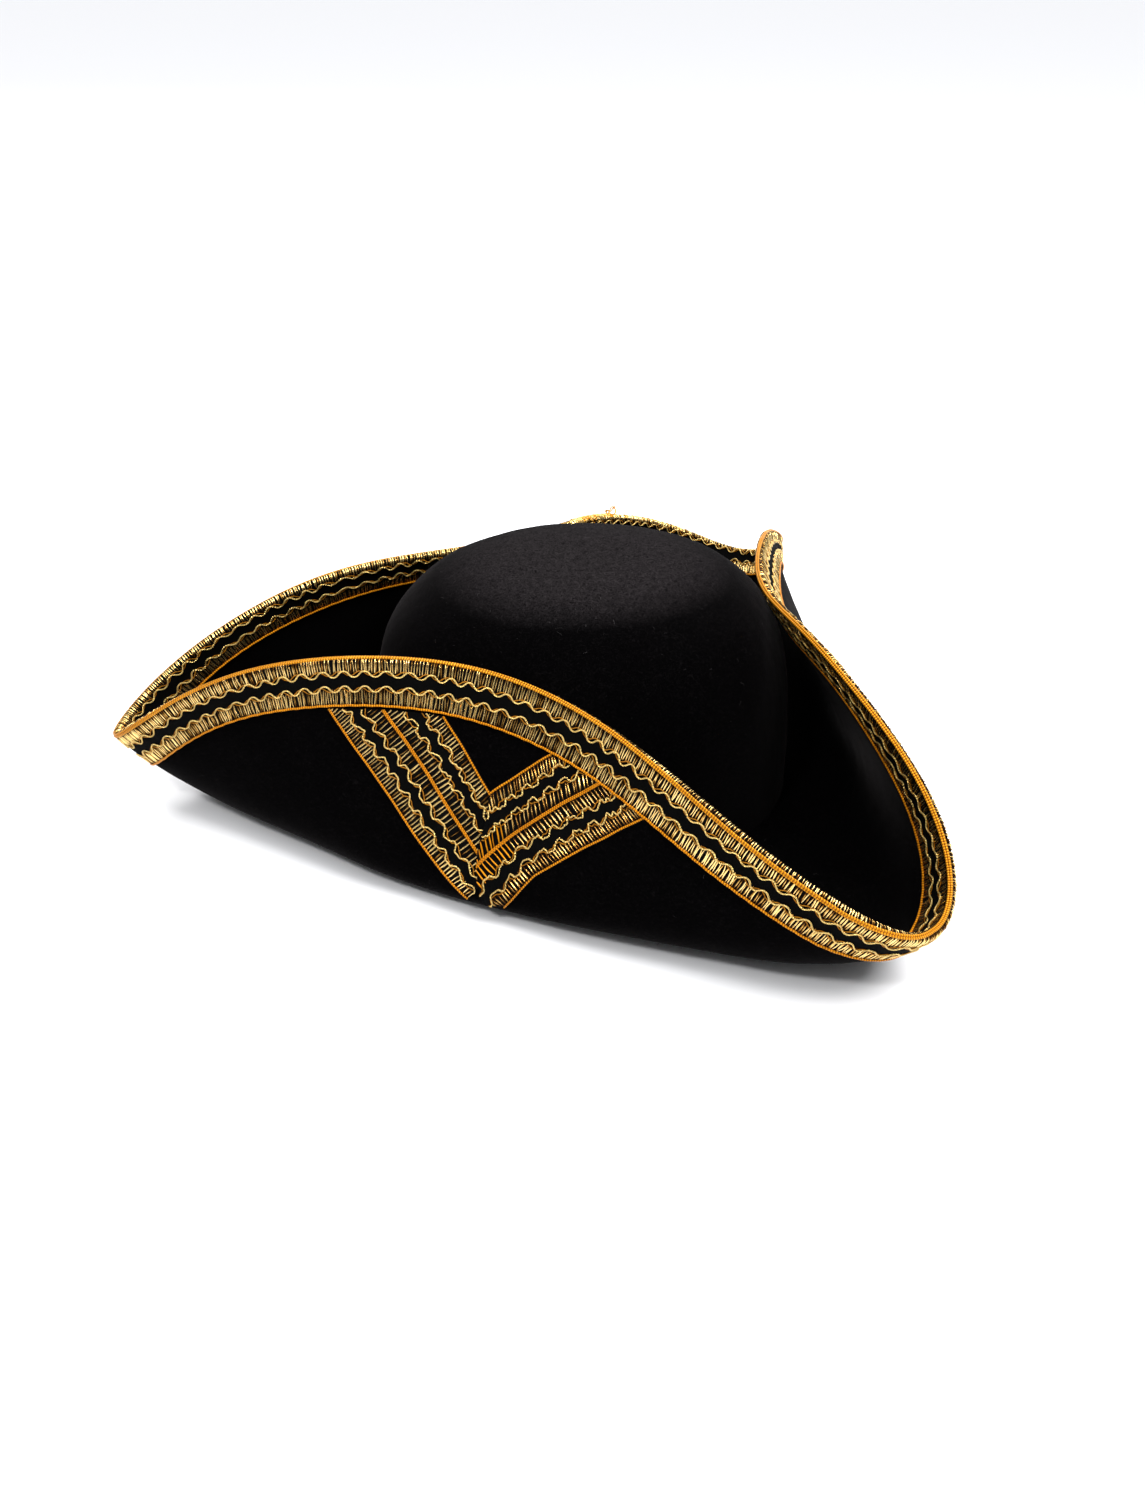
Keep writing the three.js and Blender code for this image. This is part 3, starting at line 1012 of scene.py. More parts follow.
def twist_group():
    """Threads wound round a cord: their relief, and painted shade in the grooves between them."""
    group, nodes = new_group(
        "twist",
        [("Pitch", "NodeSocketFloat", 0.001), ("Slant", "NodeSocketFloat", 1.0)],
        [("Relief", "NodeSocketFloat"), ("Gap", "NodeSocketFloat")],
    )
    inside = nodes.add("NodeGroupInput")
    strand = nodes.add("ShaderNodeUVMap", uv_map="strand").outputs["UV"]
    split = nodes.add("ShaderNodeSeparateXYZ", {"Vector": strand})
    along = nodes.math("DIVIDE", split.outputs["X"], inside.outputs["Pitch"])
    turned = nodes.math("MULTIPLY_ADD", split.outputs["Y"], inside.outputs["Slant"], along)
    swing = nodes.math("SINE", nodes.math("MULTIPLY", turned, TAU))
    relief = nodes.math("MULTIPLY_ADD", swing, 0.5, 0.5)
    # Painted shade: how dark the groove between two wound threads is
    groove_shade = nodes.math("POWER", nodes.math("SUBTRACT", 1.0, relief), 1.5)
    out = nodes.add("NodeGroupOutput")
    nodes.feed(out.inputs["Relief"], relief)
    nodes.feed(out.inputs["Gap"], groove_shade)
    return group


def shared_group(name, builder):
    return bpy.data.node_groups.get(name) or builder()


def start_material(name):
    material = bpy.data.materials.new(name)
    material.use_nodes = True
    nodes = Nodes(material.node_tree)
    shader = material.node_tree.nodes["Principled BSDF"]
    return material, nodes, shader


def felt_material(colours):
    material, nodes, shader = start_material("black_felt")
    place = nodes.add("ShaderNodeTexCoord").outputs["Object"]
    bend = nodes.add("ShaderNodeTexNoise", {"Vector": place, "Scale": 260.0, "Detail": 3.0})
    reach = (0.006, 0.006, 0.006)
    bent = nodes.add("ShaderNodeVectorMath", {0: bend.outputs["Color"], 1: reach}, operation="MULTIPLY")
    moved = nodes.add("ShaderNodeVectorMath", {0: place, 1: bent.outputs[0]}, operation="ADD").outputs[0]
    lines = []
    for angle in (0.1, 1.15, 2.2):
        turned = nodes.add("ShaderNodeMapping", {"Vector": moved, "Rotation": (0.1 * angle, 0.08, angle)})
        drawn = nodes.add("ShaderNodeMapping", {"Vector": turned.outputs[0], "Scale": (1.0, 0.14, 1.0)})
        strands = {"Vector": drawn.outputs[0], "Scale": 1500.0, "Detail": 3.0, "Roughness": 0.75}
        lines.append(nodes.add("ShaderNodeTexNoise", strands).outputs["Fac"])
    fibres = nodes.math("MAXIMUM", nodes.math("MAXIMUM", lines[0], lines[1]), lines[2])
    shown = nodes.add("ShaderNodeMapRange", {"Value": fibres, "From Min": 0.56, "From Max": 0.8})
    slow = nodes.add("ShaderNodeTexNoise", {"Vector": place, "Scale": 45.0, "Detail": 4.0, "Roughness": 0.6})
    cloud = nodes.add("ShaderNodeMapRange", {"Value": slow.outputs["Fac"], "From Min": 0.35, "From Max": 0.7})
    uneven = nodes.math("MULTIPLY_ADD", cloud.outputs[0], 0.5, 0.5)
    share = nodes.math("MULTIPLY", shown.outputs[0], uneven)
    fibrous = nodes.mix(share, colours.felt, colours.felt_fibre)
    # Painted sheen: on the crown's top, where the felt faces up, fibre streaks are lightened towards the
    # top-sheen colour, standing in for the light that falls there
    facing = nodes.add("ShaderNodeNewGeometry").outputs["Normal"]
    upward = nodes.add("ShaderNodeSeparateXYZ", {"Vector": facing}).outputs["Z"]
    facing_up = nodes.add("ShaderNodeMapRange", {"Value": upward, "From Min": 0.88, "From Max": 1.0})
    above = nodes.add("ShaderNodeSeparateXYZ", {"Vector": place}).outputs["Z"]
    high = nodes.add("ShaderNodeMapRange", {"Value": above, "From Min": 0.1, "From Max": 0.117})
    streak = nodes.add("ShaderNodeMapRange", {"Value": fibres, "From Min": 0.45, "From Max": 0.75})
    on_top = nodes.math("MULTIPLY", facing_up.outputs[0], high.outputs[0])
    painted_top_sheen = nodes.math("MULTIPLY", on_top, streak.outputs[0])
    nodes.feed(shader.inputs["Base Color"], nodes.mix(painted_top_sheen, fibrous, colours.felt_top_sheen))
    nodes.feed(shader.inputs["Roughness"], nodes.math("MULTIPLY_ADD", cloud.outputs[0], -0.1, 0.92))
    shader.inputs["Specular IOR Level"].default_value = 0.006
    shader.inputs["Sheen Weight"].default_value = 0.028
    shader.inputs["Sheen Roughness"].default_value = 0.35
    shader.inputs["Sheen Tint"].default_value = (1.0, 0.92, 0.94, 1)
    height = nodes.math("MULTIPLY_ADD", slow.outputs["Fac"], 0.6, fibres)
    bump = nodes.add("ShaderNodeBump", {"Height": height, "Strength": 0.55, "Distance": 0.25 * MM})
    nodes.feed(shader.inputs["Normal"], bump.outputs["Normal"])
    return material


def fibre_material(colours):
    material, nodes, shader = start_material("loose_fibre")
    tone = nodes.add("ShaderNodeAttribute", attribute_name="tone").outputs["Fac"]
    pale = (0.07, 0.065, 0.065)
    colour = nodes.ramp(tone, [(0.0, colours.felt[:]), (0.95, colours.felt_fibre[:]), (0.998, pale)])
    nodes.feed(shader.inputs["Base Color"], colour)
    shader.inputs["Roughness"].default_value = 0.9
    shader.inputs["Specular IOR Level"].default_value = 0.02
    return material


def ground_material(colours):
    material, nodes, shader = start_material("black_lace_ground")
    strand = nodes.add("ShaderNodeUVMap", uv_map="strand").outputs["UV"]
    split = nodes.add("ShaderNodeSeparateXYZ", {"Vector": strand})
    warp = nodes.math("SINE", nodes.math("MULTIPLY", split.outputs["X"], TAU / WARP_PITCH))
    weft = nodes.math("SINE", nodes.math("MULTIPLY", split.outputs["Y"], TAU / WEFT_PITCH))
    weave = nodes.math("MULTIPLY", warp, weft)
    shown = nodes.math("MULTIPLY_ADD", weave, 0.5, 0.5)
    light = tuple(2.6 * value for value in colours.ground)
    nodes.feed(shader.inputs["Base Color"], nodes.mix(shown, colours.ground, light))
    wear = nodes.group(shared_group("wear", wear_group), {"Scale": 80.0})
    nodes.feed(shader.inputs["Roughness"], nodes.math("MULTIPLY_ADD", wear["Tarnish"], 0.2, 0.75))
    shader.inputs["Specular IOR Level"].default_value = 0.04
    bump = nodes.add("ShaderNodeBump", {"Height": weave, "Strength": 0.6, "Distance": 0.12 * MM})
    nodes.feed(shader.inputs["Normal"], bump.outputs["Normal"])
    return material


def cord_material(colours, finish):
    """Wound cord: bright threads, with painted shade darkening the grooves between them."""
    material, nodes, shader = start_material(finish["material"])
    colour = getattr(colours, finish["colour"])[:]
    winding = {"Pitch": finish["pitch"], "Slant": finish["slant"]}
    twist = nodes.group(shared_group("twist", twist_group), winding)
    wear = nodes.group(shared_group("wear", wear_group), {"Scale": 70.0})
    tone = nodes.add("ShaderNodeAttribute", attribute_name="tone").outputs["Fac"]
    # Dark colour, used both for tarnish and for the painted shade in the grooves
    dark = tuple(value * share for value, share in zip(colour, CORD_TARNISH_AND_SHADE))
    pale = tuple(0.5 * value + 0.5 * light for value, light in zip(colour, CORD_LIGHT))
    worn = nodes.mix(tone, colour, pale)
    tarnished = nodes.mix(nodes.math("MULTIPLY", wear["Tarnish"], 0.28), worn, dark)
    # Painted shade: the grooves between the wound threads are darkened towards the dark colour
    wound = nodes.mix(nodes.math("MULTIPLY", twist["Gap"], finish["groove_shade_share"]), tarnished, dark)
    nodes.feed(shader.inputs["Base Color"], wound)
    shader.inputs["Metallic"].default_value = finish["metallic"]
    shader.inputs["Specular IOR Level"].default_value = 0.15
    roughness = nodes.math("MULTIPLY_ADD", wear["Tarnish"], 0.15, finish["roughness"])
    nodes.feed(shader.inputs["Roughness"], roughness)
    bump = nodes.add("ShaderNodeBump", {"Height": twist["Relief"], "Strength": 0.9, "Distance": 0.25 * MM})
    nodes.feed(shader.inputs["Normal"], bump.outputs["Normal"])
    return material


def bar_material(colours):
    """Metal bars: fine threads laid side by side, with a painted highlight in the middle of each bar's length
    that fades to painted brown shade at its ends and on its flanks.
    """
    material, nodes, shader = start_material("gold_bars")
    strand = nodes.add("ShaderNodeUVMap", uv_map="strand").outputs["UV"]
    split = nodes.add("ShaderNodeSeparateXYZ", {"Vector": strand})
    tone = nodes.add("ShaderNodeAttribute", attribute_name="tone").outputs["Fac"]
    wear = nodes.group(shared_group("wear", wear_group), {"Scale": 90.0})
    # Painted highlight: each bar is lightened in the middle of its length, and so darker brown towards its
    # ends
    middle = nodes.math("SINE", nodes.math("MULTIPLY", split.outputs["Y"], math.pi))
    threads = nodes.math("SINE", nodes.math("MULTIPLY", split.outputs["X"], TAU * BAR_THREADS))
    # Painted shade: each bar is darkened on its flanks
    ridge = nodes.math("SINE", nodes.math("MULTIPLY", split.outputs["X"], math.pi))
    painted_flank_shade = nodes.math("MULTIPLY_ADD", ridge, 0.5, -0.5)
    lit = nodes.math("MULTIPLY_ADD", tone, 0.95, nodes.math("MULTIPLY_ADD", middle, 0.6, painted_flank_shade))
    shade = nodes.math("MULTIPLY_ADD", wear["Tarnish"], -0.35, lit)
    line = nodes.math("MULTIPLY_ADD", threads, 0.08, nodes.math("SUBTRACT", shade, 0.08))
    amber = tuple(0.5 * high * share for high, share in zip(colours.bar_light, (1.1, 0.8, 0.4)))
    stops = [(0.08, colours.bar_dark[:]), (0.36, amber), (0.62, colours.bar_light[:])]
    nodes.feed(shader.inputs["Base Color"], nodes.ramp(line, stops))
    shader.inputs["Metallic"].default_value = 0.95
    nodes.feed(shader.inputs["Roughness"], nodes.math("MULTIPLY_ADD", wear["Tarnish"], 0.18, 0.12))
    bump = nodes.add("ShaderNodeBump", {"Height": threads, "Strength": 0.5, "Distance": 0.1 * MM})
    nodes.feed(shader.inputs["Normal"], bump.outputs["Normal"])
    return material


def braid_materials(colours):
    """The braid's materials by what they are used for, made once."""
    makers = {
        "ground": ("black_lace_ground", lambda: ground_material(colours)),
        "bars": ("gold_bars", lambda: bar_material(colours)),
    }
    for use, finish in CORD_FINISHES.items():
        makers[use] = (finish["material"], lambda finish=finish: cord_material(colours, finish))
    return {use: bpy.data.materials.get(name) or make() for use, (name, make) in makers.items()}


# Operators


def the_hat(context):
    return Hat(context.scene.hat_sizes, context.scene.hat_braid)


class HAT_OT_felt_hood(bpy.types.Operator):
    """Felt hood: dome, break, flat ring and turned-up brim in one piece"""

    bl_idname = "hat.felt_hood"
    bl_label = "Felt hood"

    def face(self, hat, angle, lift, dome_rings):
        """Rows of points from the dome's top to the brim's edge, on one face of the felt."""
        top = CROWN_MIDDLE + [0, 0, hat.sizes.crown_height + lift]
        rows = [np.tile(top, (len(angle), 1))]
        for rise in np.linspace(math.pi / 2, 0, dome_rings + 1)[1:-1]:
            rows.append(hat.dome_point(angle, np.full_like(angle, rise), lift))
        for turn in np.linspace(0, math.pi / 2, BREAK_RINGS):
            rows.append(hat.break_point(angle, np.full_like(angle, turn), lift))
        flap = hat.flap_length(angle)
        for share in np.linspace(1, 0, FLAP_RINGS):
            rows.append(hat.felt_point(angle, flap * share, np.full_like(angle, lift)))
        return rows

    def execute(self, context):
        hat = the_hat(context)
        angle = np.arange(FELT_STATIONS) * TAU / FELT_STATIONS
        angle = angle - CORNER_CROWDING / 3 * np.sin(3 * angle)
        under = self.face(hat, angle, 0.0, DOME_RINGS // 2)
        upper = self.face(hat, angle, hat.sizes.felt_thickness, DOME_RINGS)
        points = np.stack(under + upper[::-1], axis=1)
        rng = np.random.default_rng(SEED)
        swell = FELT_SWELL * soft_swell(points, FELT_SWELL_LENGTH, rng)
        swell = swell + FINE_SWELL * soft_swell(points, FINE_SWELL_LENGTH, rng)
        calm = smooth_step(points[..., 2] / CALM_HEIGHT)
        outwards = unit((points - CROWN_MIDDLE) * [1, 1, 0] + 1e-6)
        points = points + outwards * (swell * calm)[..., None]
        uv = points[..., :2]
        pile = Pile()
        pile.add(points, uv, close=True)
        piece = pile.make("felt_body", felt_material(context.scene.hat_colours))
        dress(piece, "felt", "felt_hood")
        return {"FINISHED"}


class HAT_OT_loose_fibres(bpy.types.Operator):
    """Short raised fibres of the felt, and a few pale specks of lint"""

    bl_idname = "hat.loose_fibres"
    bl_label = "Loose fibres"

    def execute(self, context):
        hat = the_hat(context)
        rng = np.random.default_rng(SEED + 1)
        felt = hat.sizes.felt_thickness
        leg = hat.braid.edge_leg
        dome_count = NAP_FIBRES // 2
        dome_angle = rng.uniform(0, TAU, dome_count)
        rise = np.arccos(rng.uniform(0, 1, dome_count))
        dome = hat.dome_point(dome_angle, rise, felt)
        flap_count = NAP_FIBRES - dome_count
        angle = rng.uniform(0, TAU, flap_count)
        length = leg + rng.uniform(0, 1, flap_count) * (hat.flap_length(angle) - leg)
        lift = np.where(rng.random(flap_count) < OUTER_FIBRES, 0.0, felt)
        flap = hat.felt_point(angle, length, lift)
        away = hat.felt_point(angle, length, np.where(lift > 0, felt + MM, -MM)) - flap
        dome_away = hat.dome_point(dome_angle, rise, felt + MM) - dome
        roots = np.concatenate([dome, flap])
        away = unit(np.concatenate([dome_away, away]))
        lay = unit(np.cross(away, rng.normal(size=away.shape)))
        fibre = rng.gamma(3.0, FIBRE_GROWTH, len(roots)).clip(*FIBRE_LENGTHS)[:, None]
        rise_by = rng.uniform(0.05, 0.4, (len(roots), 1))
        curl = np.cross(away, lay) * rng.normal(0, 0.35, (len(roots), 1))
        spine = [
            roots + fibre * (lay * share + curl * share * share + away * rise_by * math.sin(2.6 * share))
            for share in (0, 0.5, 1)
        ]
        spine = np.stack(spine, axis=1)
        half_width = FIBRE_HALF_WIDTH * rng.uniform(0.7, 1.5, (len(roots), 1, 1))
        side = unit(np.cross(away, lay))[:, None] * half_width
        points = np.stack([spine - side, spine + side], axis=2)
        points = points[points[..., 2].min(axis=(1, 2)) > FIBRE_CLEARANCE]
        uv = np.zeros(points.shape[:-1] + (2,))
        tone = rng.random(len(points))
        pile = Pile()
        pile.add(points, uv, tone)
        piece = pile.make("loose_fibres", fibre_material(context.scene.hat_colours))
        dress(piece, "felt")
        return {"FINISHED"}


def fold_place(hat, run):
    """How far the braid's middle lies from the fold, along the edge."""
    around = np.degrees(np.mod(hat.angle_at_run(run), TAU))
    places = [row["around"] for row in FOLD_PLACES]
    shifts = [row["shift"] for row in FOLD_PLACES]
    shift = np.interp(around, places, shifts)
    turn = TAU * run / hat.run_total
    return shift + FOLD_STRAY * (np.sin(5 * turn + 1) + 0.6 * np.sin(13 * turn))


def thread_shift(band):
    """The thin thread lies on its wavy cord's side that is away from the black band."""
    return (-1 if band == "inner_wave" else 1) * THREAD_SHIFT


class HAT_OT_edge_braid(bpy.types.Operator):
    """Gold lace braid folded in half over the brim's edge, all the way round"""

    bl_idname = "hat.edge_braid"
    bl_label = "Edge braid"

    def execute(self, context):
        hat = the_hat(context)
        rng = np.random.default_rng(SEED + 2)
        materials = braid_materials(context.scene.hat_colours)

        def place(run, across, height):
            return hat.edge_point(run, across + fold_place(hat, run), height)

        def dress_pile(pile, name, use):
            dress(pile.make(f"edge_braid_{name}", materials[use]), "braid", "edge_braid")

        dress_pile(self.ground(hat, place), "ground", "ground")
        dress_pile(self.cords(hat, place), "cords", "cord")
        orange, gold = self.join(place, rng)
        dress_pile(orange, "join", "cord")
        dress_pile(gold, "join_gold", "wave")
        for side, label in ((1, "outer"), (-1, "inner")):
            dress_pile(self.bars(hat, place, side, rng), f"bars_{label}", "bars")
            waves, threads = self.waves(hat, place, side, rng)
            dress_pile(waves, f"waves_{label}", "wave")
            dress_pile(threads, f"threads_{label}", "thread")
        return {"FINISHED"}

    def ground(self, hat, place):
        """Black woven ribbon, from one border to the other and back below."""
        half_width = EDGE_BANDS["border"] + GROUND_MARGIN
        run = np.arange(GROUND_STATIONS) * hat.run_total / GROUND_STATIONS
        top = np.linspace(half_width, -half_width, 21)
        under = np.linspace(-half_width, half_width, 9)
        height = np.concatenate([0 * top, 0 * under - hat.braid.ground_thickness])
        grid_run, grid_across = np.meshgrid(run, np.concatenate([top, under]), indexing="ij")
        uv = np.stack([grid_run, grid_across], axis=-1)
        pile = Pile()
        pile.add(place(grid_run, grid_across, height + 0 * grid_run), uv, around=True, close=True)
        return pile

    def cords(self, hat, place):
        """A pair of cords along the middle, and one along each border."""
        run = np.linspace(0, hat.run_total, CORD_STATIONS)
        ripple = BORDER_RIPPLE * np.sin(TAU * BORDER_RIPPLES * run / hat.run_total)
        radii = {"middle_cord": EDGE_BANDS["middle_cord"], "border": hat.braid.cord_radius}
        ripples = {"middle_cord": 0 * run, "border": ripple}
        pile = Pile()
        for side in (-1, 1):
            for band, radius in radii.items():
                across = side * EDGE_BANDS[band] + ripples[band]
                grids = strand_grid(run, across, 0 * run + CORD_HEIGHT, 0 * run + radius, 6)
                pile.add(place(*grids[:3]), grids[3], TONES[band])
        return pile

    def join(self, place, rng):
        """Where the braid's two ends meet: threads wound over the fold, and a tuft of loose ones."""
        orange, gold = Pile(), Pile()
        first, last = JOIN_RUN
        for start in np.arange(first, last, JOIN_PITCH):
            share = np.linspace(0, 1, 12)
            across = (2 * share - 1) * rng.uniform(*JOIN_REACH)
            run = start + JOIN_SLANT * share + rng.normal(0, 0.12 * MM)
            grids = strand_grid(run, across, 0 * run + JOIN_HEIGHT, 0 * run + JOIN_RADIUS, 5)
            use = gold if rng.random() < JOIN_GOLD else orange
            use.add(place(*grids[:3]), grids[3], rng.uniform(0.1, 0.6))
        for _ in range(TUFT_THREADS):
            share = np.linspace(0, 1, 7)
            long = rng.uniform(*TUFT_LENGTHS)
            run = first + 2 * MM * rng.random() - long * share
            across = rng.normal(0, 1.2 * MM) + rng.normal(0, 1.5 * MM) * share**2
            height = 0.9 * MM + long * rng.uniform(0.2, 0.9) * share**1.5
            grids = strand_grid(run, across, height, 0 * run + TUFT_RADIUS, 3)
            orange.add(place(*grids[:3]), grids[3], rng.uniform(0.3, 1.0))
        return orange, gold

    def bars(self, hat, place, side, rng):
        """Metal bars on one face, in a band on each side of the black one."""
        pile = Pile()
        count = int(round(hat.run_total / hat.braid.rung_pitch))
        for band in ("inner_rungs", "outer_rungs"):
            low, high = (np.full(count, end) for end in EDGE_BANDS[band])
            places = (np.arange(count) + rng.normal(0, RUNG_UNEVEN, count)) * hat.run_total / count
            grids = rung_grids(places, low, high, hat.braid, rng, RUNG_LOOPS[band])
            pile.add(place(grids[0], side * grids[1], grids[2]), grids[3], grids[4])
        return pile

    def waves(self, hat, place, side, rng):
        """Wavy cords on one face, and the thin thread beside each."""
        waves, threads = Pile(), Pile()
        swings = Waves(hat.run_total, hat.braid, rng)
        for band in ("inner_wave", "outer_wave"):
            run, across = swings.path(EDGE_BANDS[band])
            height = WAVE_HEIGHT + WAVE_RIPPLE * np.sin(TAU * WAVE_RIPPLES * run / hat.run_total)
            grids = strand_grid(run, across, height, 0 * run + hat.braid.wave_radius, 5)
            waves.add(place(grids[0], side * grids[1], grids[2]), grids[3], TONES["wave"])
            run, across = swings.path(EDGE_BANDS[band] + thread_shift(band), **THREAD_PATH)
            grids = strand_grid(run, across, 0 * run + THREAD_HEIGHT, 0 * run + THREAD_RADIUS, 3)
            threads.add(place(grids[0], side * grids[1], grids[2]), grids[3], TONES["thread"])
        return waves, threads


def clip_rungs(arm, run, low, high):
    """The part of each rung that the arm shows, and which rungs show at all."""
    share = np.linspace(0, 1, CLIP_PLACES)
    across = low + (high - low) * share
    seen = arm.covered(run[:, None], np.broadcast_to(across, (len(run), len(share))))
    any_seen = seen.sum(axis=1) >= CLIP_LEAST
    first = np.where(seen, across, np.inf).min(axis=1)
    last = np.where(seen, across, -np.inf).max(axis=1)
    return run[any_seen], first[any_seen], last[any_seen]


def clip_path(arm, run, across):
    """The stretch of a cord's path that the arm shows."""
    seen = np.flatnonzero(arm.covered(run, across))
    return run[seen[0] : seen[-1] + 1], across[seen[0] : seen[-1] + 1]


class HAT_OT_chevron_braid(bpy.types.Operator):
    """V of the same braid on the left flap, its rear arm laid over the front one"""

    bl_idname = "hat.chevron_braid"
    bl_label = "Chevron braid"

    def execute(self, context):
        hat = the_hat(context)
        sizes = hat.braid
        rng = np.random.default_rng(SEED + 3)
        materials = braid_materials(context.scene.hat_colours)
        front = VArm(hat, -sizes.v_front_angle, 1, 0.0, FRONT_ARM_WANDER, FRONT_ARM_END)
        rear = VArm(hat, sizes.v_rear_angle, -1, V_OVERLAP, REAR_ARM_WANDER, REAR_ARM_END, REAR_ARM_SAG)
        piles = {use: Pile() for use in materials}
        for arm in (front, rear):
            self.ground(arm, piles["ground"])
            for side in (-1, 1):
                self.cords(arm, side, piles["cord"])
                self.waves(arm, side, rng, piles)
                self.rungs(arm, side, arm is rear, rng, piles)
        for use, pile in piles.items():
            dress(pile.make(f"chevron_braid_{use}", materials[use]), "braid", "chevron_braid")
        return {"FINISHED"}

    def ground(self, arm, pile):
        """The arm's black ribbon, from the mitre to the folded braid."""
        across = np.linspace(arm.half_width, -arm.half_width, 25)
        mitre = arm.end_run(across)
        reach = np.arange(-arm.half_width, V_GROUND_REACH, V_GROUND_STEP)
        end = np.array([reach[arm.covered(reach, 0 * reach + side)].max() for side in across])
        run = mitre + (end - mitre) * np.linspace(0, 1, 49)[:, None]
        side = across + 0 * run
        grid_run = np.concatenate([run, run[:, ::-1]], axis=1)
        grid_across = np.concatenate([side, side[:, ::-1]], axis=1)
        height = np.concatenate([0 * run, 0 * run - arm.hat.braid.ground_thickness], axis=1)
        uv = np.stack([grid_run, grid_across], axis=-1)
        pile.add(arm.point(grid_run, grid_across, height), uv, around=True)

    def cords(self, arm, side, pile):
        """One cord of the middle pair, and the border cord on its side."""
        reach = np.arange(-arm.half_width, V_CORD_REACH, V_CORD_STEP)
        middle_radius = V_BANDS["middle_cord"]
        border_radius = arm.hat.braid.cord_radius * V_STRAND_SHARE
        for band, radius in (("middle_cord", middle_radius), ("border", border_radius)):
            run, across = clip_path(arm, reach, 0 * reach + side * V_BANDS[band])
            grids = strand_grid(run, across, 0 * run + CORD_HEIGHT, 0 * run + radius, 6)
            pile.add(arm.point(*grids[:3]), grids[3], TONES["border"])

    def waves(self, arm, side, rng, piles):
        """Wavy cords on one side of the arm's middle, and the thin thread beside each."""
        swings = Waves(V_LONGEST, arm.hat.braid, rng)
        start = -arm.half_width
        radius = V_STRAND_SHARE * arm.hat.braid.wave_radius
        for band in ("inner_wave", "outer_wave"):
            run, across = swings.path(V_BANDS[band], start=start)
            run, across = clip_path(arm, run, side * across)
            grids = strand_grid(run, across, 0 * run + WAVE_HEIGHT, 0 * run + radius, 5)
            piles["wave"].add(arm.point(*grids[:3]), grids[3], TONES["wave"])
            run, across = swings.path(V_BANDS[band] + thread_shift(band), start=start, **THREAD_PATH)
            run, across = clip_path(arm, run, side * across)
            grids = strand_grid(run, across, 0 * run + THREAD_HEIGHT, 0 * run + THREAD_RADIUS, 3)
            piles["thread"].add(arm.point(*grids[:3]), grids[3], TONES["thread"])

    def rungs(self, arm, side, rear, rng, piles):
        """Metal bars on one side of the arm's middle, the inner ones worn orange at the rear arm's tip."""
        sizes = arm.hat.braid
        for band in ("inner_rungs", "outer_rungs"):
            low, high = sorted(side * value for value in V_BANDS[band])
            pitch = sizes.v_rung_pitch if band == "inner_rungs" else sizes.v_rung_pitch * V_OUTER_PITCH
            count = int(V_LONGEST / pitch)
            steps = np.arange(count) + rng.normal(0, V_RUNG_UNEVEN, count)
            places, first, last = clip_rungs(arm, -arm.half_width + steps * pitch, low, high)
            tilt = REAR_RUNG_TILT * side if rear else 0.0
            grids = rung_grids(places, first, last, sizes, rng, V_RUNG_LOOPS, tilt, V_RUNG_SLIM)
            tone = grids[4] * (REAR_RUNG_TONE if rear else FRONT_RUNG_TONE)
            points = arm.point(*grids[:3])
            worn = (places < WORN_TIP) & rear & (band == "inner_rungs")
            piles["bars"].add(points[~worn], grids[3][~worn], tone[~worn])
            piles["cord"].add(points[worn], grids[3][worn] * MM, 0.3 * tone[worn])


def aim(place, target):
    """Rotation of a lamp or a camera at a place that looks at a target."""
    way = np.asarray(target, dtype=float) - np.asarray(place, dtype=float)
    level = math.hypot(way[0], way[1])
    return (math.atan2(level, -way[2]), 0.0, math.atan2(way[1], way[0]) - math.pi / 2)


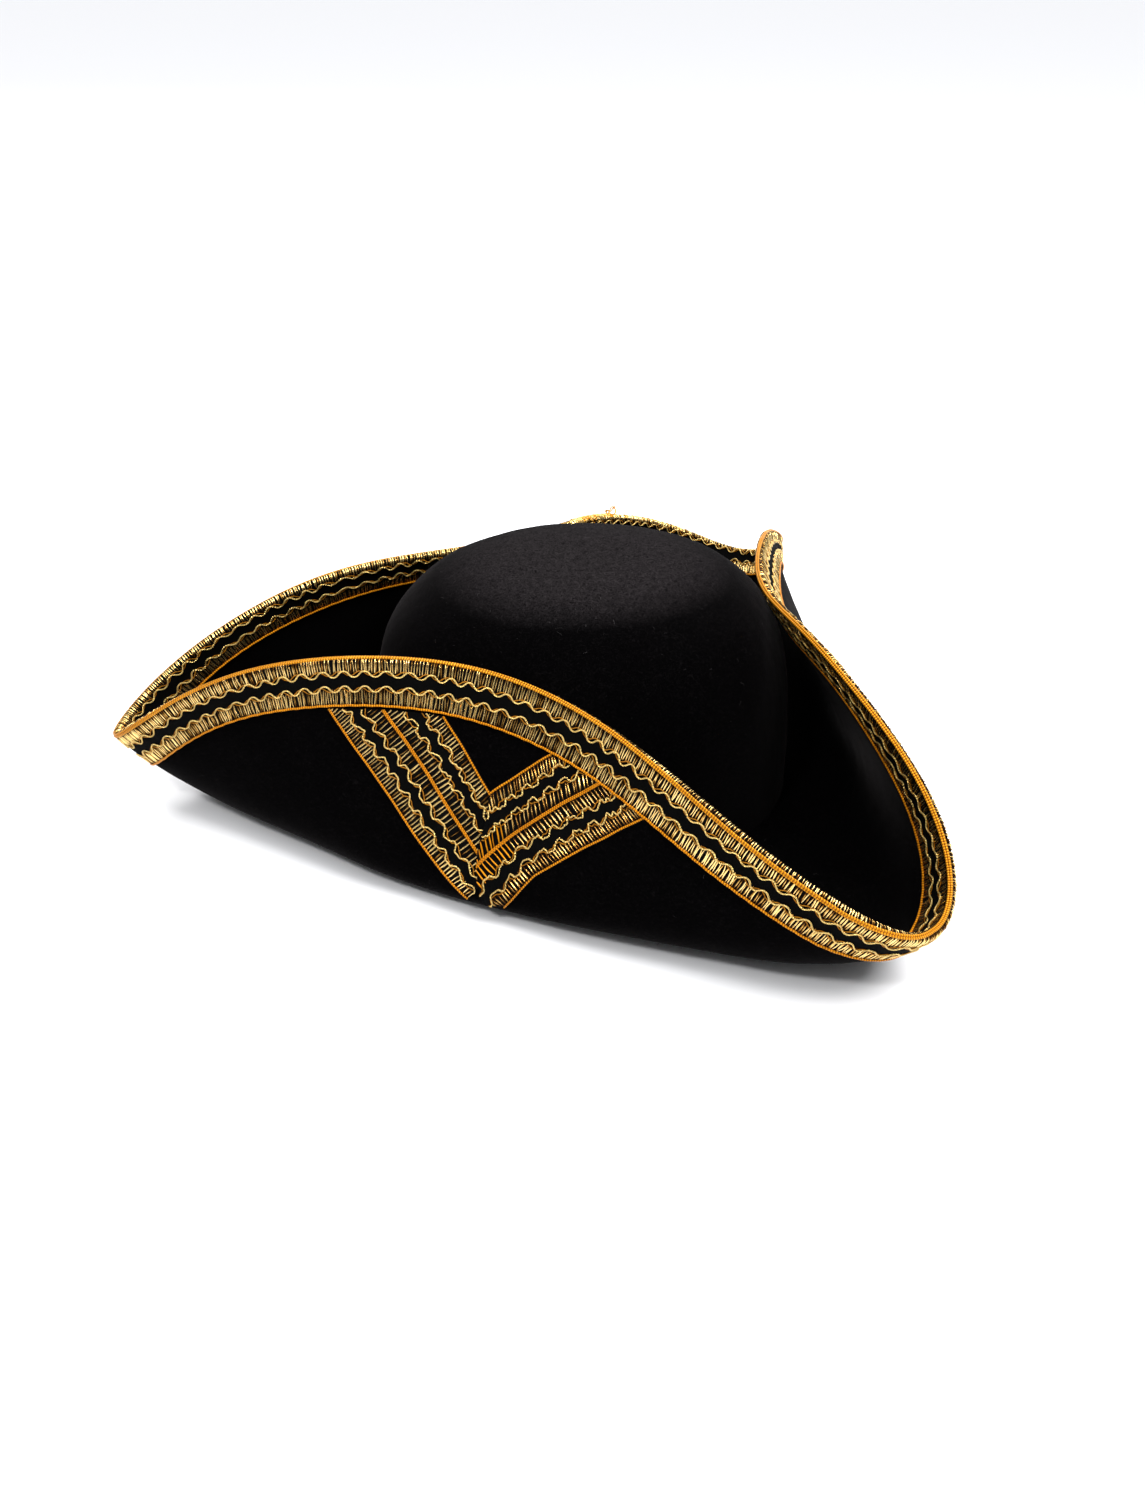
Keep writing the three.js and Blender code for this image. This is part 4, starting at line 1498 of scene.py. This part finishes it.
class HAT_OT_stage(bpy.types.Operator):
    """Wide pale floor, soft light and the camera"""

    bl_idname = "hat.stage"
    bl_label = "Stage"

    def floor(self):
        far = np.linspace(-FLOOR_REACH, FLOOR_REACH, 5)
        points = np.stack(np.broadcast_arrays(far[:, None], far[None, :], 0.0), axis=-1)
        pile = Pile()
        pile.add(points, points[..., :2])
        material, nodes, shader = start_material("pale_floor")
        shader.inputs["Base Color"].default_value = FLOOR_COLOUR
        shader.inputs["Roughness"].default_value = 0.9
        shader.inputs["Specular IOR Level"].default_value = 0.1
        pile.make("floor", material)

    def sky(self, world):
        """Bright overhead and at the horizon, and dim between."""
        nodes = Nodes(world.node_tree)
        way = nodes.add("ShaderNodeTexCoord").outputs["Generated"]
        high = nodes.add("ShaderNodeSeparateXYZ", {"Vector": way}).outputs["Z"]
        share = nodes.ramp(high, [(place, grey(value)) for place, value in SKY_STOPS])
        strength = nodes.math("MULTIPLY", share, SKY_HIGH)
        background = world.node_tree.nodes["Background"]
        background.inputs["Color"].default_value = SKY_COLOUR
        nodes.feed(background.inputs["Strength"], strength)

    def area_light(self, name, place, size, power):
        light = bpy.data.lights.new(name, "AREA")
        light.shape = "SQUARE"
        light.size = size
        light.energy = power
        lamp = bpy.data.objects.new(name, light)
        bpy.context.scene.collection.objects.link(lamp)
        lamp.location = place
        lamp.rotation_euler = aim(place, LIGHT_TARGET)

    def execute(self, context):
        scene = context.scene
        self.floor()
        world = bpy.data.worlds.new("studio")
        world.use_nodes = True
        self.sky(world)
        scene.world = world
        scene.view_settings.view_transform = "Standard"
        for light in LIGHTS:
            self.area_light(**light)

        lens = bpy.data.cameras.new("camera")
        lens.lens = CAMERA_LENS
        lens.shift_x, lens.shift_y = CAMERA_SHIFT
        camera = bpy.data.objects.new("camera", lens)
        scene.collection.objects.link(camera)
        level = math.cos(CAMERA_HEIGHT_ANGLE)
        forward_x, forward_y = CAMERA_FORWARD
        way = np.array([-forward_x * level, -forward_y * level, math.sin(CAMERA_HEIGHT_ANGLE)])
        camera.location = CROWN_MIDDLE + CAMERA_DISTANCE * way
        camera.rotation_euler = aim(camera.location, CROWN_MIDDLE)
        scene.camera = camera
        return {"FINISHED"}


class HAT_PT_panel(bpy.types.Panel):
    """The hat's pieces, in the order they are made"""

    bl_idname = "HAT_PT_panel"
    bl_label = "Tricorn hat"
    bl_space_type = "VIEW_3D"
    bl_region_type = "UI"
    bl_category = "Hat"

    def draw(self, context):
        layout = self.layout
        for operator in PIECES:
            layout.operator(operator.bl_idname)
        for group in (context.scene.hat_sizes, context.scene.hat_braid, context.scene.hat_colours):
            for name in type(group).__annotations__:
                layout.prop(group, name)


PIECES = (HAT_OT_felt_hood, HAT_OT_loose_fibres, HAT_OT_edge_braid, HAT_OT_chevron_braid, HAT_OT_stage)
CLASSES = (HatSizes, BraidSizes, HatColours, *PIECES, HAT_PT_panel)


def register():
    for item in CLASSES:
        bpy.utils.register_class(item)
    bpy.types.Scene.hat_sizes = PointerProperty(type=HatSizes)
    bpy.types.Scene.hat_braid = PointerProperty(type=BraidSizes)
    bpy.types.Scene.hat_colours = PointerProperty(type=HatColours)


def unregister():
    del bpy.types.Scene.hat_sizes
    del bpy.types.Scene.hat_braid
    del bpy.types.Scene.hat_colours
    for item in reversed(CLASSES):
        bpy.utils.unregister_class(item)


def main():
    register()
    bpy.ops.hat.felt_hood()
    bpy.ops.hat.loose_fibres()
    bpy.ops.hat.edge_braid()
    bpy.ops.hat.chevron_braid()
    bpy.ops.hat.stage()


if __name__ == "__main__":
    main()
